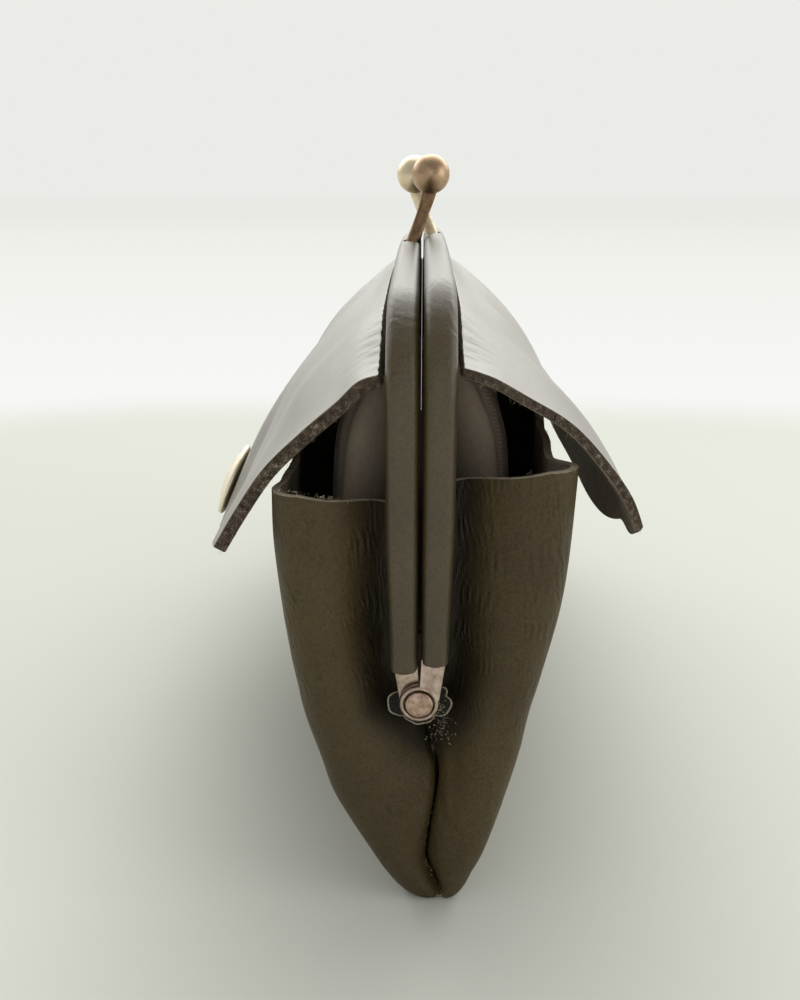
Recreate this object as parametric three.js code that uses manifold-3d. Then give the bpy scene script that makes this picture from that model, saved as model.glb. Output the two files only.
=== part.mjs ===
// Kiss lock purse, in millimetres: X along its length, -Y the front with the snap, Z up, resting on Z = 0.
// A leather-covered clasp frame carries an inner bag, two outer pocket walls and two overhanging flaps.
import * as THREE from 'three';
import { mergeVertices } from 'three/addons/utils/BufferGeometryUtils.js';
import Module from 'manifold-3d';

const wasm = await Module();
wasm.setup();

// Clearances
const CLEAR = 0.3; // between pieces that touch on the real purse
const FRAME_GAP = 0.6; // between the two closed frame covers

// Clasp frame, measured on the centre line of the covered rail
const LEG_SPAN = 174;
const LEG_END_Z = 44.5; // lower end of the leather cover on the front half
const RAIL_Z = 98.6; // top rail beside the corners, front half
const CORNER_RADIUS = 12;
const RAIL_CROWN = 3.4; // rise of the top rail at mid length
const BACK_LIFT = 1.3; // the back half sits this much higher
const COVER_WIDTH = 4.95; // across the purse, each half
const COVER_END_WIDTH = 4.35; // the cover is pressed thinner above the hinge
const COVER_TAPER_LENGTH = 26;
const COVER_DEPTH = 6.4; // in the plane of the frame
const COVER_WALL = 0.8;
const ROUNDING = 3.2; // superellipse power of the rail's and the cover's section

// Hinges
const HINGE_Z = 38.6;
const LUG_THICK = 1;
const LUG_TOP_WIDTH = 3.9;
const LUG_EYE_RADIUS = 3;
const SHANK_RADIUS = 1.2;
const DOME_RADIUS = 2.1;
const DOME_HEIGHT = 0.9;
const TAIL_RADIUS = 2;
const TAIL_THICK = 0.7;
const PAD_THICK = 1.2;
const PAD_LOBE_RADIUS = 2.5;
const PAD_LOBE_OFFSET = 2.9;
const PAD_DROP = 1.4; // of the side lobes' middle below the rivet
const PAD_SAG = 0.35; // of the middle lobe below the side lobes

// Kiss lock
const BALL_DIAMETER = 8.2;
const BALL_GAP = 0.6;
const BALL_Z = 119;
const BALL_CROSS = 1.7; // each ball stands this far past the middle plane
const STEM_FOOT_LENGTH = 4.2; // along the rail
const STEM_NECK_LENGTH = 2.6;
const STEM_THICK = 1.8;
const CUTOUT_LENGTH = 7.5; // of the hole in the cover at the stem
const CUTOUT_DEPTH = 2.6;

// Inner bag
const BAG_WALL = 1;
const BAG_END_GAP = 3.4; // between its ends and the legs' covers
const BAG_HALF_WIDTH = 15.5; // at mid length
const BAG_SLIT_HALF_WIDTH = 3; // between the legs
const BAG_END_RISE = 45; // of its bottom towards the ends
const BAG_END_POWER = 8; // how late along its length the bag narrows and rises

// Outer pocket walls
const WALL = 1.2;
const SEAM_GAP = 0.5; // between the two walls along the end and bottom seam
const LOBE_OVERHANG = 2.5; // of the end lobes past the middle of the legs
const END_HALF_WIDTH = 23; // that the end section's widths are shares of
const MID_HALF_WIDTH = 30; // that the mid-length widths are shares of
const WALL_HEIGHT = 75; // that the heights of the rows are shares of
const CORNER_FOLD = 4; // radius where the end turns into the side
const CORNER_LIMIT = 0.7; // share of a narrow lobe's width that this radius may take
const RECESS_DEPTH = 8.6; // that the depths of the fold beside the legs are shares of
const RECESS_POWER = 1.6; // how quickly the fold comes out again to the lobe
const TUCK_UNDER_LEG = 2.8; // of each wall's edge behind its leg
const SEAM_SHIFT = 2.3; // the end seam lies this far behind the middle plane
const SEAM_MID_SHIFT = 1.2;
const SEAM_TOP_Z = 22; // above this the seam swings under the hinge
const LEG_FOLD_Z = 30; // above this the walls' edges part to pass either side of the frame
const REST_SHARE = 0.85; // of the bottom row's width that lies flat where the purse stands
const MOUTH = {
  front: { leg: 69.8, corner: 73.3, middle: 71.5, pinch: 1 },
  back: { leg: 73.3, corner: 77.2, middle: 75, pinch: 3.2 },
};

// Flaps
const FLAP_WALL = { front: 2.1, back: 1.5 }; // the front flap is doubled behind its snap
const FLAP_CORNER_CUT = 3; // how far the free edge's corners are cut back
const FLAP_CUT_POWER = 4; // how late down the flap its ends are cut back
const FLAP_END_POWER = { front: 1.2, back: 2 }; // how late along each flap its section becomes its end
const FLAP_ROOT_BEND = 0.7; // share of the half length where the root starts to leave the rail
const FLAP_ROOT_DROP = 4.2; // of the root below the rail's centre line
const FLAP_END_ROOT_Z = 90.2; // front flap, at its ends
const FLAP_ROOT_TILT = 0.35; // room for the root's tilted edge beside the cover
// Reach and drop from the root at the ends and at mid length; the -X end reaches farShare of the +X end's.
const FLAP = {
  front: { endReach: 25.6, farShare: 1, endDrop: 27.4, midReach: 42.5, midDrop: 61.5 },
  back: { endReach: 27.9, farShare: 0.9, endDrop: 24.8, midReach: 33.4, midDrop: 50.6 },
};

// Snap
const SNAP_SHARE = 0.855; // of the way from the flap's root to its free edge
const SNAP_SPAN = 0.06; // share of the flap over which its slope at the snap is taken
const SNAP_CAP_RADIUS = 9;
const SNAP_CAP_THICK = 2.8;
const SNAP_SHANK_RADIUS = 1.6;
const SNAP_SOCKET_RADIUS = 8;
const SNAP_SOCKET_THICK = 2.8;
const SNAP_LIFT = 0.5; // room for the flap's curve under the cap and the socket
const STUD_Z = 47.5;
const STUD_RADIUS = 5;
const STUD_THICK = 1.8;
const STUD_BACK_SHARE = 0.8; // of its radius, at the leather

// Rows of the outer walls from the seam up: height as a share of WALL_HEIGHT, outer half widths from the
// seam line as shares of END_HALF_WIDTH (front, back) and of MID_HALF_WIDTH (mid), depth of the fold beside
// the legs as a share of RECESS_DEPTH, and the lobe's setback from endX as a share of CORNER_FOLD.
const WALL_ROWS = [
  { z: 0, front: 0.178, back: 0.175, mid: 0.37, fold: 0.06, setback: 0.8 },
  { z: 0.02, front: 0.253, back: 0.238, mid: 0.42, fold: 0.1, setback: 0.4 },
  { z: 0.05, front: 0.328, back: 0.3, mid: 0.49, fold: 0.14, setback: 0.18 },
  { z: 0.105, front: 0.439, back: 0.384, mid: 0.59, fold: 0.18, setback: 0.05 },
  { z: 0.21, front: 0.625, back: 0.493, mid: 0.76, fold: 0.22, setback: 0 },
  { z: 0.315, front: 0.772, back: 0.599, mid: 0.9, fold: 0.4, setback: 0 },
  { z: 0.415, front: 0.819, back: 0.728, mid: 0.97, fold: 0.85, setback: 0 },
  { z: 0.515, front: 0.842, back: 0.828, mid: 1, fold: 1, setback: 0 },
  { z: 0.61, front: 0.894, back: 0.888, mid: 1, fold: 0.9, setback: 0 },
  { z: 0.71, front: 0.947, back: 0.949, mid: 0.98, fold: 0.8, setback: 0 },
  { z: 0.8, front: 0.972, back: 0.987, mid: 0.95, fold: 0.76, setback: 0 },
  { z: 0.9, front: 0.985, back: 1.012, mid: 0.91, fold: 0.75, setback: 0 },
  { z: 1, front: 0.987, back: 1.029, mid: 0.87, fold: 0.75, setback: 0 },
];

// Rows of the inner bag from its bottom up: height share, half width as a share of the width there.
const BAG_ROWS = [
  { z: 0, width: 0.22 },
  { z: 0.04, width: 0.4 },
  { z: 0.13, width: 0.64 },
  { z: 0.27, width: 0.87 },
  { z: 0.43, width: 1 },
  { z: 0.6, width: 1 },
  { z: 0.75, width: 0.93 },
  { z: 0.86, width: 0.7 },
  { z: 0.93, width: 0.4 },
  { z: 1, width: 0.19 },
];

// Rows of the lock's stem from its foot to the ball: share of the way, and its length along the rail.
const STEM_ROWS = [
  { share: 0, length: STEM_FOOT_LENGTH },
  { share: 0.35, length: STEM_FOOT_LENGTH },
  { share: 0.7, length: STEM_NECK_LENGTH },
  { share: 1, length: STEM_NECK_LENGTH },
];

// Rows of the two domed profiles from the rim to the middle, as shares of their radius and height.
const DOME_ROWS = [
  { radius: 1, height: 0 },
  { radius: 0.86, height: 0.5 },
  { radius: 0.5, height: 0.87 },
  { radius: 0, height: 1 },
];
const CAP_ROWS = [
  { radius: 1, height: 0 },
  { radius: 0.98, height: 0.4 },
  { radius: 0.7, height: 0.82 },
  { radius: 0, height: 1 },
];

// Rows of the flaps from the root out: shares of the reach and of the drop, at the ends and at mid length.
const FLAP_ROWS = {
  front: [
    { t: 0, endReach: 0, endDrop: 0, midReach: 0, midDrop: 0 },
    { t: 0.12, endReach: 0.1, endDrop: 0.03, midReach: 0.085, midDrop: 0.06 },
    { t: 0.25, endReach: 0.22, endDrop: 0.134, midReach: 0.245, midDrop: 0.15 },
    { t: 0.45, endReach: 0.44, endDrop: 0.31, midReach: 0.5, midDrop: 0.345 },
    { t: 0.65, endReach: 0.66, endDrop: 0.51, midReach: 0.71, midDrop: 0.56 },
    { t: 0.83, endReach: 0.845, endDrop: 0.76, midReach: 0.87, midDrop: 0.79 },
    { t: 1, endReach: 1, endDrop: 1, midReach: 1, midDrop: 1 },
  ],
  back: [
    { t: 0, endReach: 0, endDrop: 0, midReach: 0, midDrop: 0 },
    { t: 0.12, endReach: 0.15, endDrop: 0.055, midReach: 0.1, midDrop: 0.07 },
    { t: 0.25, endReach: 0.33, endDrop: 0.165, midReach: 0.29, midDrop: 0.18 },
    { t: 0.45, endReach: 0.56, endDrop: 0.32, midReach: 0.57, midDrop: 0.39 },
    { t: 0.65, endReach: 0.77, endDrop: 0.565, midReach: 0.81, midDrop: 0.61 },
    { t: 0.83, endReach: 0.92, endDrop: 0.8, midReach: 0.95, midDrop: 0.81 },
    { t: 1, endReach: 1, endDrop: 1, midReach: 1, midDrop: 1 },
  ],
};

// Facets: how finely each piece is divided
const RAIL_SIDES = 8;
const COVER_SIDES = 8;
const ROUND_SIDES = 14;
const BALL_RINGS = 9;
const LEG_STEPS = 3;
const CORNER_STEPS = 5;
const RAIL_STEPS = 4;
const END_STEPS = 7;
const FOLD_STEPS = 3;
const SIDE_STEPS = 8;
const SIDE_SPREAD = 1.4; // packs a side's columns closer towards its corner
const BAG_STEPS = 18;
const FLAP_STEPS = 18;
const WELD = 1e-4; // points closer than this are one

// Sizes worked out from the ones above
const legX = LEG_SPAN / 2;
const cornerX = legX - CORNER_RADIUS;
const bagHalfLength = legX - COVER_DEPTH / 2 - BAG_END_GAP;
const endX = legX + LOBE_OVERHANG; // foremost face of the end lobes
const cornerZ = RAIL_Z - CORNER_RADIUS;
const coverOuterY = FRAME_GAP / 2 + COVER_WIDTH;
const lugOuterX = legX + LUG_THICK * 2;
const lugPitch = LUG_THICK + CLEAR;
const rivetTailX = lugOuterX - LUG_THICK - lugPitch - CLEAR;
const rivetHeadX = lugOuterX + CLEAR;
const liftOf = { front: 0, back: BACK_LIFT };
const sideOf = { front: -1, back: 1 };

function smoothstep(value) {
  const x = Math.min(Math.max(value, 0), 1);
  return x * x * (3 - 2 * x);
}

function mix(a, b, share) {
  return a + (b - a) * share;
}

// A table's column at a place in its key column, along a smooth curve that never overshoots its rows.
function tableValue(rows, key, column, place) {
  const at = Math.min(Math.max(place, rows[0][key]), rows[rows.length - 1][key]);
  let i = 0;
  while (i < rows.length - 2 && at > rows[i + 1][key]) i += 1;
  const slope = (a) => (rows[a + 1][column] - rows[a][column]) / (rows[a + 1][key] - rows[a][key]);
  const mean = (a, b) => (a * b <= 0 ? 0 : (2 * a * b) / (a + b));
  const width = rows[i + 1][key] - rows[i][key];
  const start = i > 0 ? mean(slope(i - 1), slope(i)) : slope(i);
  const end = i < rows.length - 2 ? mean(slope(i), slope(i + 1)) : slope(i);
  const u = (at - rows[i][key]) / width;
  const blend = u * u * (3 - 2 * u);
  return mix(rows[i][column], rows[i + 1][column], blend)
    + width * u * (1 - u) * ((1 - u) * start - u * end);
}

function geometryFrom(positions, indices) {
  const geometry = new THREE.BufferGeometry();
  geometry.setAttribute('position', new THREE.Float32BufferAttribute(positions, 3));
  geometry.setIndex(indices);
  return geometry;
}

// Leather of even thickness about a grid of middle points. Rows run along i and columns along j, and the
// face on the side of (i direction) x (j direction) points out. A wrapped sheet closes on itself along j.
function sheetSolid(grid, thickness, wrapped = false) {
  const rows = grid.length;
  const columns = grid[0].length;
  const row = (i) => Math.min(Math.max(i, 0), rows - 1);
  const column = (j) => (wrapped ? (j + columns) % columns : Math.min(Math.max(j, 0), columns - 1));
  const positions = [];
  for (const face of [1, -1]) {
    for (let i = 0; i < rows; i += 1) {
      for (let j = 0; j < columns; j += 1) {
        const alongI = new THREE.Vector3().subVectors(grid[row(i + 1)][j], grid[row(i - 1)][j]);
        const alongJ = new THREE.Vector3().subVectors(grid[i][column(j + 1)], grid[i][column(j - 1)]);
        const normal = alongI.cross(alongJ).normalize();
        const point = grid[i][j].clone().addScaledVector(normal, (face * thickness) / 2);
        positions.push(point.x, point.y, point.z);
      }
    }
  }
  const at = (layer, i, j) => (layer * rows + i) * columns + column(j);
  const indices = [];
  const quad = (a, b, c, d) => indices.push(a, b, c, a, c, d);
  const lastRow = rows - 1;
  const lastColumn = columns - 1;
  const strips = wrapped ? columns : lastColumn;
  for (let i = 0; i < lastRow; i += 1) {
    for (let j = 0; j < strips; j += 1) {
      quad(at(0, i, j), at(0, i + 1, j), at(0, i + 1, j + 1), at(0, i, j + 1));
      quad(at(1, i, j), at(1, i, j + 1), at(1, i + 1, j + 1), at(1, i + 1, j));
    }
  }
  for (let j = 0; j < strips; j += 1) {
    quad(at(0, 0, j), at(0, 0, j + 1), at(1, 0, j + 1), at(1, 0, j));
    quad(at(0, lastRow, j + 1), at(0, lastRow, j), at(1, lastRow, j), at(1, lastRow, j + 1));
  }
  if (!wrapped) {
    for (let i = 0; i < lastRow; i += 1) {
      quad(at(0, i + 1, 0), at(0, i, 0), at(1, i, 0), at(1, i + 1, 0));
      quad(at(0, i, lastColumn), at(0, i + 1, lastColumn), at(1, i + 1, lastColumn), at(1, i, lastColumn));
    }
  }
  return geometryFrom(positions, indices);
}

// Solid bar through a list of section loops, each a convex ring of as many points, with flat ends.
function barSolid(loops) {
  const count = loops[0].length;
  const positions = loops.flat().flatMap((point) => [point.x, point.y, point.z]);
  const indices = [];
  for (let i = 0; i < loops.length - 1; i += 1) {
    for (let j = 0; j < count; j += 1) {
      const a = i * count + j;
      const b = i * count + ((j + 1) % count);
      indices.push(a, b + count, a + count, a, b, b + count);
    }
  }
  const last = (loops.length - 1) * count;
  for (let j = 1; j < count - 1; j += 1) {
    indices.push(0, j + 1, j, last, last + j, last + j + 1);
  }
  return geometryFrom(positions, indices);
}

function toSolid(geometry) {
  const bare = geometry.clone();
  bare.deleteAttribute('normal');
  bare.deleteAttribute('uv');
  const merged = mergeVertices(bare, WELD);
  return new wasm.Manifold(new wasm.Mesh({
    numProp: 3,
    vertProperties: new Float32Array(merged.attributes.position.array),
    triVerts: new Uint32Array(merged.index.array),
  }));
}

function fromSolid(solid) {
  const mesh = solid.getMesh();
  return geometryFrom(Array.from(mesh.vertProperties), Array.from(mesh.triVerts));
}

function cylinderAlongX(radius, fromX, toX, y, z) {
  const cylinder = new THREE.CylinderGeometry(radius, radius, toX - fromX, ROUND_SIDES);
  cylinder.rotateZ(Math.PI / 2);
  cylinder.translate((fromX + toX) / 2, y, z);
  return toSolid(cylinder);
}

// Clasp frame

function railZ(x, name) {
  return RAIL_Z + RAIL_CROWN * (1 - (x / legX) ** 2) + liftOf[name];
}

// Stations along one frame half, from its -X leg end over the top to its +X leg end: the centre of the
// section, the outward direction in the frame's plane, and the share of the taper above the hinge.
function frameStations(name, lowerZ) {
  const half = [];
  for (let i = 0; i < LEG_STEPS; i += 1) half.push([legX, mix(lowerZ, cornerZ, i / LEG_STEPS)]);
  for (let i = 0; i <= CORNER_STEPS; i += 1) {
    const angle = ((Math.PI / 2) * i) / CORNER_STEPS;
    half.push([cornerX + CORNER_RADIUS * Math.cos(angle), cornerZ + CORNER_RADIUS * Math.sin(angle)]);
  }
  for (let i = 1; i <= RAIL_STEPS; i += 1) half.push([cornerX * (1 - i / RAIL_STEPS), RAIL_Z]);
  const rise = ([x, z]) => new THREE.Vector3(x, 0, z + railZ(x, name) - RAIL_Z);
  const right = half.map(rise);
  const left = right.slice(0, -1).map((point) => new THREE.Vector3(-point.x, 0, point.z));
  const line = [...left, ...right.reverse()];
  return line.map((centre, i) => {
    const before = line[Math.max(i - 1, 0)];
    const after = line[Math.min(i + 1, line.length - 1)];
    const along = new THREE.Vector3().subVectors(after, before).normalize();
    const out = new THREE.Vector3(-along.z, 0, along.x);
    const taper = 1 - smoothstep((centre.z - liftOf[name] - LEG_END_Z) / COVER_TAPER_LENGTH);
    return { centre, out, taper };
  });
}

// Superellipse ring round a station, inset from the cover's outer face.
function sectionRing(station, name, inset, sides) {
  const width = mix(COVER_WIDTH, COVER_END_WIDTH, station.taper);
  const middleY = sideOf[name] * (FRAME_GAP + width) / 2;
  const bulge = (value) => Math.sign(value) * Math.abs(value) ** (2 / ROUNDING);
  const ring = [];
  for (let j = 0; j < sides; j += 1) {
    const angle = (2 * Math.PI * (j + 0.5)) / sides;
    const point = station.centre.clone();
    point.addScaledVector(station.out, (COVER_DEPTH / 2 - inset) * bulge(Math.sin(angle)));
    point.y += middleY + (width / 2 - inset) * bulge(Math.cos(angle));
    ring.push(point);
  }
  return ring;
}

function stemX(name) {
  return (-sideOf[name] * (BALL_DIAMETER + BALL_GAP)) / 2;
}

// Leather sleeve round one frame half, open on top where the stem stands.
function frameCover(name) {
  const stations = frameStations(name, LEG_END_Z);
  const grid = stations.map((station) => sectionRing(station, name, COVER_WALL / 2, COVER_SIDES));
  const sleeve = toSolid(sheetSolid(grid, COVER_WALL, true));
  const cutter = new THREE.BoxGeometry(CUTOUT_LENGTH, COVER_WIDTH, CUTOUT_DEPTH * 2);
  const top = railZ(stemX(name), name) + COVER_DEPTH / 2;
  const middleY = sideOf[name] * (FRAME_GAP / 2 + COVER_WIDTH / 2 - COVER_WALL);
  cutter.translate(stemX(name), middleY, top);
  return fromSolid(sleeve.subtract(toSolid(cutter)));
}

// Flat lug from one leg's end down to the eye round the rivet. The back half's lugs lie outermost.
function hingeLug(name, end) {
  const side = sideOf[name];
  const outerX = lugOuterX - (name === 'back' ? 0 : lugPitch);
  const topZ = LEG_END_Z + liftOf[name] - CLEAR;
  const plate = new THREE.Shape([
    new THREE.Vector2(side * (FRAME_GAP / 2), topZ),
    new THREE.Vector2(side * (FRAME_GAP / 2), HINGE_Z),
    new THREE.Vector2(side * LUG_EYE_RADIUS, HINGE_Z),
    new THREE.Vector2(side * (FRAME_GAP / 2 + LUG_TOP_WIDTH), topZ),
  ]);
  const blank = new THREE.ExtrudeGeometry(plate, { depth: LUG_THICK, bevelEnabled: false });
  blank.applyMatrix4(new THREE.Matrix4().makeBasis(
    new THREE.Vector3(0, 1, 0),
    new THREE.Vector3(0, 0, 1),
    new THREE.Vector3(1, 0, 0),
  ));
  const innerX = end > 0 ? outerX - LUG_THICK : -outerX;
  blank.translate(innerX, 0, 0);
  const eye = cylinderAlongX(LUG_EYE_RADIUS, innerX, innerX + LUG_THICK, 0, HINGE_Z);
  const hole = cylinderAlongX(SHANK_RADIUS + CLEAR, innerX - CLEAR, innerX + LUG_THICK + CLEAR, 0, HINGE_Z);
  return toSolid(blank).add(eye).subtract(hole);
}

// Stem that leans from its own rail across the middle plane, with its ball.
function stemAndBall(name) {
  const x = stemX(name);
  const footY = (sideOf[name] * (FRAME_GAP + COVER_WIDTH)) / 2;
  const ballY = -sideOf[name] * BALL_CROSS;
  const footZ = railZ(x, name);
  const loops = STEM_ROWS.map(({ share, length }) => {
    const y = mix(footY, ballY, share);
    const z = mix(footZ, BALL_Z, share);
    return [[1, -1], [1, 1], [-1, 1], [-1, -1]].map(([a, b]) => (
      new THREE.Vector3(x + (a * length) / 2, y + (b * STEM_THICK) / 2, z)));
  });
  const ball = new THREE.SphereGeometry(BALL_DIAMETER / 2, ROUND_SIDES, BALL_RINGS);
  ball.translate(x, ballY, BALL_Z);
  return toSolid(barSolid(loops)).add(toSolid(ball));
}

// One half of the metal frame, soldered into one solid: rail and legs, two lugs, stem and ball.
function frameHalf(name) {
  const stations = frameStations(name, LEG_END_Z - CLEAR * 2);
  const rings = stations.map((station) => sectionRing(station, name, COVER_WALL + CLEAR, RAIL_SIDES));
  return fromSolid(
    toSolid(barSolid(rings)).add(hingeLug(name, 1)).add(hingeLug(name, -1)).add(stemAndBall(name)),
  );
}

function domeProfile(rows, radius, base, height) {
  return rows.map((row) => new THREE.Vector2(radius * row.radius, base + height * row.height));
}

// Rivet turned about its own axis, tail, shank and domed head, and then laid along the purse.
function hingeRivet() {
  const profile = [
    new THREE.Vector2(0, rivetTailX - TAIL_THICK),
    new THREE.Vector2(TAIL_RADIUS, rivetTailX - TAIL_THICK),
    new THREE.Vector2(TAIL_RADIUS, rivetTailX),
    new THREE.Vector2(SHANK_RADIUS, rivetTailX),
    new THREE.Vector2(SHANK_RADIUS, rivetHeadX),
    ...domeProfile(DOME_ROWS, DOME_RADIUS, rivetHeadX, DOME_HEIGHT),
  ];
  return new THREE.LatheGeometry(profile, ROUND_SIDES);
}

// Lobed pad behind a hinge: three overlapping round lobes of one thickness.
function hingePad() {
  const face = rivetTailX - TAIL_THICK - CLEAR;
  const lobe = (y, z) => cylinderAlongX(PAD_LOBE_RADIUS, face - PAD_THICK, face, y, z);
  const z = HINGE_Z - PAD_DROP;
  const middle = lobe(0, z - PAD_SAG);
  return fromSolid(lobe(-PAD_LOBE_OFFSET, z).add(middle).add(lobe(PAD_LOBE_OFFSET, z)));
}

// Inner bag

function bagTopZ(x) {
  const inner = CORNER_RADIUS - COVER_DEPTH / 2 - CLEAR;
  const past = Math.max(Math.abs(x) - cornerX, 0);
  const arc = Math.sqrt(Math.max(inner ** 2 - past ** 2, 0));
  return cornerZ + arc + railZ(x, 'front') - RAIL_Z;
}

// Boat-shaped pouch: upright U sections that narrow to a slit and rise to the hinges at both ends.
function innerBag() {
  const grid = [];
  for (let i = 0; i <= BAG_STEPS; i += 1) {
    const share = Math.sin(((Math.PI / 2) * (BAG_STEPS - 2 * i)) / BAG_STEPS);
    const x = bagHalfLength * share;
    const fullness = Math.sqrt(1 - share ** BAG_END_POWER);
    const width = mix(BAG_SLIT_HALF_WIDTH, BAG_HALF_WIDTH, fullness);
    const bottomZ = WALL + CLEAR + BAG_WALL / 2 + BAG_END_RISE * share ** BAG_END_POWER;
    const side = (sign) => BAG_ROWS.map((row) => {
      const halfWidth = Math.max(width * row.width, BAG_SLIT_HALF_WIDTH);
      return new THREE.Vector3(x, sign * halfWidth, mix(bottomZ, bagTopZ(x), row.z));
    });
    grid.push([...side(-1).reverse(), ...side(1)]);
  }
  return sheetSolid(grid, BAG_WALL);
}

// Outer pocket walls

function seamY(x, z) {
  const along = smoothstep(Math.abs(x) / endX);
  const shift = mix(SEAM_MID_SHIFT, SEAM_SHIFT, along);
  return shift * (1 - smoothstep((z - SEAM_TOP_Z) / (HINGE_Z - SEAM_TOP_Z)));
}

// Points of one wall's plan line at one height share, from the seam or leg at the +X end to mid length:
// across the end's fold and lobe, round the corner, and along the side.
function wallPlan(name, share) {
  const mouth = MOUTH[name];
  const side = sideOf[name];
  const plan = [];
  const place = (x, offset, mouthZ) => {
    const z = mix(WALL / 2, mouthZ, share);
    return new THREE.Vector3(x, seamY(x, z) + side * offset, z);
  };
  const endZ = mix(WALL / 2, mouth.corner, share);
  const row = (column) => tableValue(WALL_ROWS, 'z', column, endZ / WALL_HEIGHT);
  const aboveHinge = smoothstep((endZ - LEG_FOLD_Z) / (LEG_END_Z - LEG_FOLD_Z));
  const edge = mix(SEAM_GAP / 2, coverOuterY - TUCK_UNDER_LEG, aboveHinge);
  const hidden = mix(SEAM_GAP / 2, coverOuterY + CLEAR, aboveHinge);
  const halfWidth = END_HALF_WIDTH * row(name) - WALL / 2;
  const radius = Math.min(CORNER_FOLD, (halfWidth - edge) * CORNER_LIMIT);
  const faceX = endX - WALL / 2 - CORNER_FOLD * row('setback');
  const depth = RECESS_DEPTH * row('fold');
  const lobe = halfWidth - radius;
  for (let i = 0; i < END_STEPS; i += 1) {
    const across = i / END_STEPS;
    const offset = mix(edge, lobe, across);
    const free = Math.max((offset - hidden) / (lobe - hidden), 0);
    const inward = depth * (1 - smoothstep(free)) ** RECESS_POWER;
    plan.push(place(faceX - inward, offset, mix(mouth.leg, mouth.corner, across)));
  }
  for (let i = 0; i <= FOLD_STEPS; i += 1) {
    const angle = ((Math.PI / 2) * i) / FOLD_STEPS;
    const x = faceX - radius * (1 - Math.cos(angle));
    plan.push(place(x, lobe + radius * Math.sin(angle), mouth.corner));
  }
  const cornerEndX = faceX - radius;
  const pinch = mouth.pinch * smoothstep((endZ - SEAM_TOP_Z) / (WALL_HEIGHT - SEAM_TOP_Z));
  const midWidth = MID_HALF_WIDTH * row('mid') - WALL / 2;
  for (let i = 1; i <= SIDE_STEPS; i += 1) {
    const along = (i / SIDE_STEPS) ** SIDE_SPREAD;
    const x = cornerEndX * (1 - along);
    const swell = (1 - Math.cos(Math.PI * along)) / 2;
    const pinched = halfWidth - pinch * smoothstep((cornerEndX - x) / CORNER_FOLD);
    plan.push(place(x, mix(pinched, midWidth, swell), mix(mouth.corner, mouth.middle, swell)));
  }
  return plan;
}

// One outer wall, edge to edge round both ends. Its two lowest rows turn in flat to the bottom seam.
function outerWall(name) {
  const across = (plan) => {
    const mirrored = plan.slice(0, -1).reverse().map((p) => new THREE.Vector3(-p.x, p.y, p.z));
    const whole = [...plan, ...mirrored];
    return name === 'front' ? whole : whole.reverse();
  };
  const plans = WALL_ROWS.map((row) => across(wallPlan(name, row.z)));
  const turnIn = (share) => plans[0].map((point) => {
    const edgeY = seamY(point.x, 0) + (sideOf[name] * SEAM_GAP) / 2;
    return new THREE.Vector3(point.x, mix(edgeY, point.y, share), point.z);
  });
  return sheetSolid([turnIn(0), turnIn(REST_SHARE), ...plans], WALL);
}

// Flaps

function flapPoint(name, along, t) {
  const sizes = FLAP[name];
  const column = (key) => tableValue(FLAP_ROWS[name], 't', key, t);
  const halfLength = legX - FLAP_CORNER_CUT * t ** FLAP_CUT_POWER;
  const x = along * halfLength;
  const end = Math.abs(along) ** FLAP_END_POWER[name];
  const endReach = sizes.endReach * (along < 0 ? sizes.farShare : 1);
  const reach = mix(sizes.midReach * column('midReach'), endReach * column('endReach'), end);
  const drop = mix(sizes.midDrop * column('midDrop'), sizes.endDrop * column('endDrop'), end);
  const toEnd = smoothstep((Math.abs(along) - FLAP_ROOT_BEND) / (1 - FLAP_ROOT_BEND));
  const rootZ = mix(railZ(x, name) - FLAP_ROOT_DROP, FLAP_END_ROOT_Z + liftOf[name], toEnd);
  const rootY = coverOuterY + CLEAR + FLAP_ROOT_TILT;
  return new THREE.Vector3(x, sideOf[name] * (rootY + reach), rootZ - drop);
}

function flapGrid(name) {
  const grid = [];
  for (let i = 0; i <= FLAP_STEPS; i += 1) {
    const along = (sideOf[name] * (2 * i - FLAP_STEPS)) / FLAP_STEPS;
    grid.push(FLAP_ROWS[name].map((row) => flapPoint(name, along, row.t)));
  }
  return grid;
}

// Place of the snap on the front flap: its middle on the leather and the outward direction there.
function snapPlace() {
  const middle = flapPoint('front', 0, SNAP_SHARE);
  const down = new THREE.Vector3().subVectors(
    flapPoint('front', 0, SNAP_SHARE + SNAP_SPAN),
    flapPoint('front', 0, SNAP_SHARE - SNAP_SPAN),
  ).normalize();
  const out = new THREE.Vector3(-1, 0, 0).cross(down);
  return { middle, out };
}

function flapFront() {
  const { middle, out } = snapPlace();
  const radius = SNAP_SHANK_RADIUS + CLEAR;
  const punch = new THREE.CylinderGeometry(radius, radius, FLAP_WALL.front * 4, ROUND_SIDES);
  punch.applyQuaternion(new THREE.Quaternion().setFromUnitVectors(new THREE.Vector3(0, 1, 0), out));
  punch.translate(middle.x, middle.y, middle.z);
  return fromSolid(toSolid(sheetSolid(flapGrid('front'), FLAP_WALL.front)).subtract(toSolid(punch)));
}

function flapBack() {
  return sheetSolid(flapGrid('back'), FLAP_WALL.back);
}

// Snap: domed cap outside the flap, shank through it and socket behind it, turned about +Y.
function snapCap() {
  const outside = FLAP_WALL.front / 2 + SNAP_LIFT;
  const profile = [
    new THREE.Vector2(0, -outside - SNAP_SOCKET_THICK),
    new THREE.Vector2(SNAP_SOCKET_RADIUS, -outside - SNAP_SOCKET_THICK),
    new THREE.Vector2(SNAP_SOCKET_RADIUS, -outside),
    new THREE.Vector2(SNAP_SHANK_RADIUS, -outside),
    new THREE.Vector2(SNAP_SHANK_RADIUS, outside),
    ...domeProfile(CAP_ROWS, SNAP_CAP_RADIUS, outside, SNAP_CAP_THICK),
  ];
  return new THREE.LatheGeometry(profile, ROUND_SIDES);
}

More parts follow.
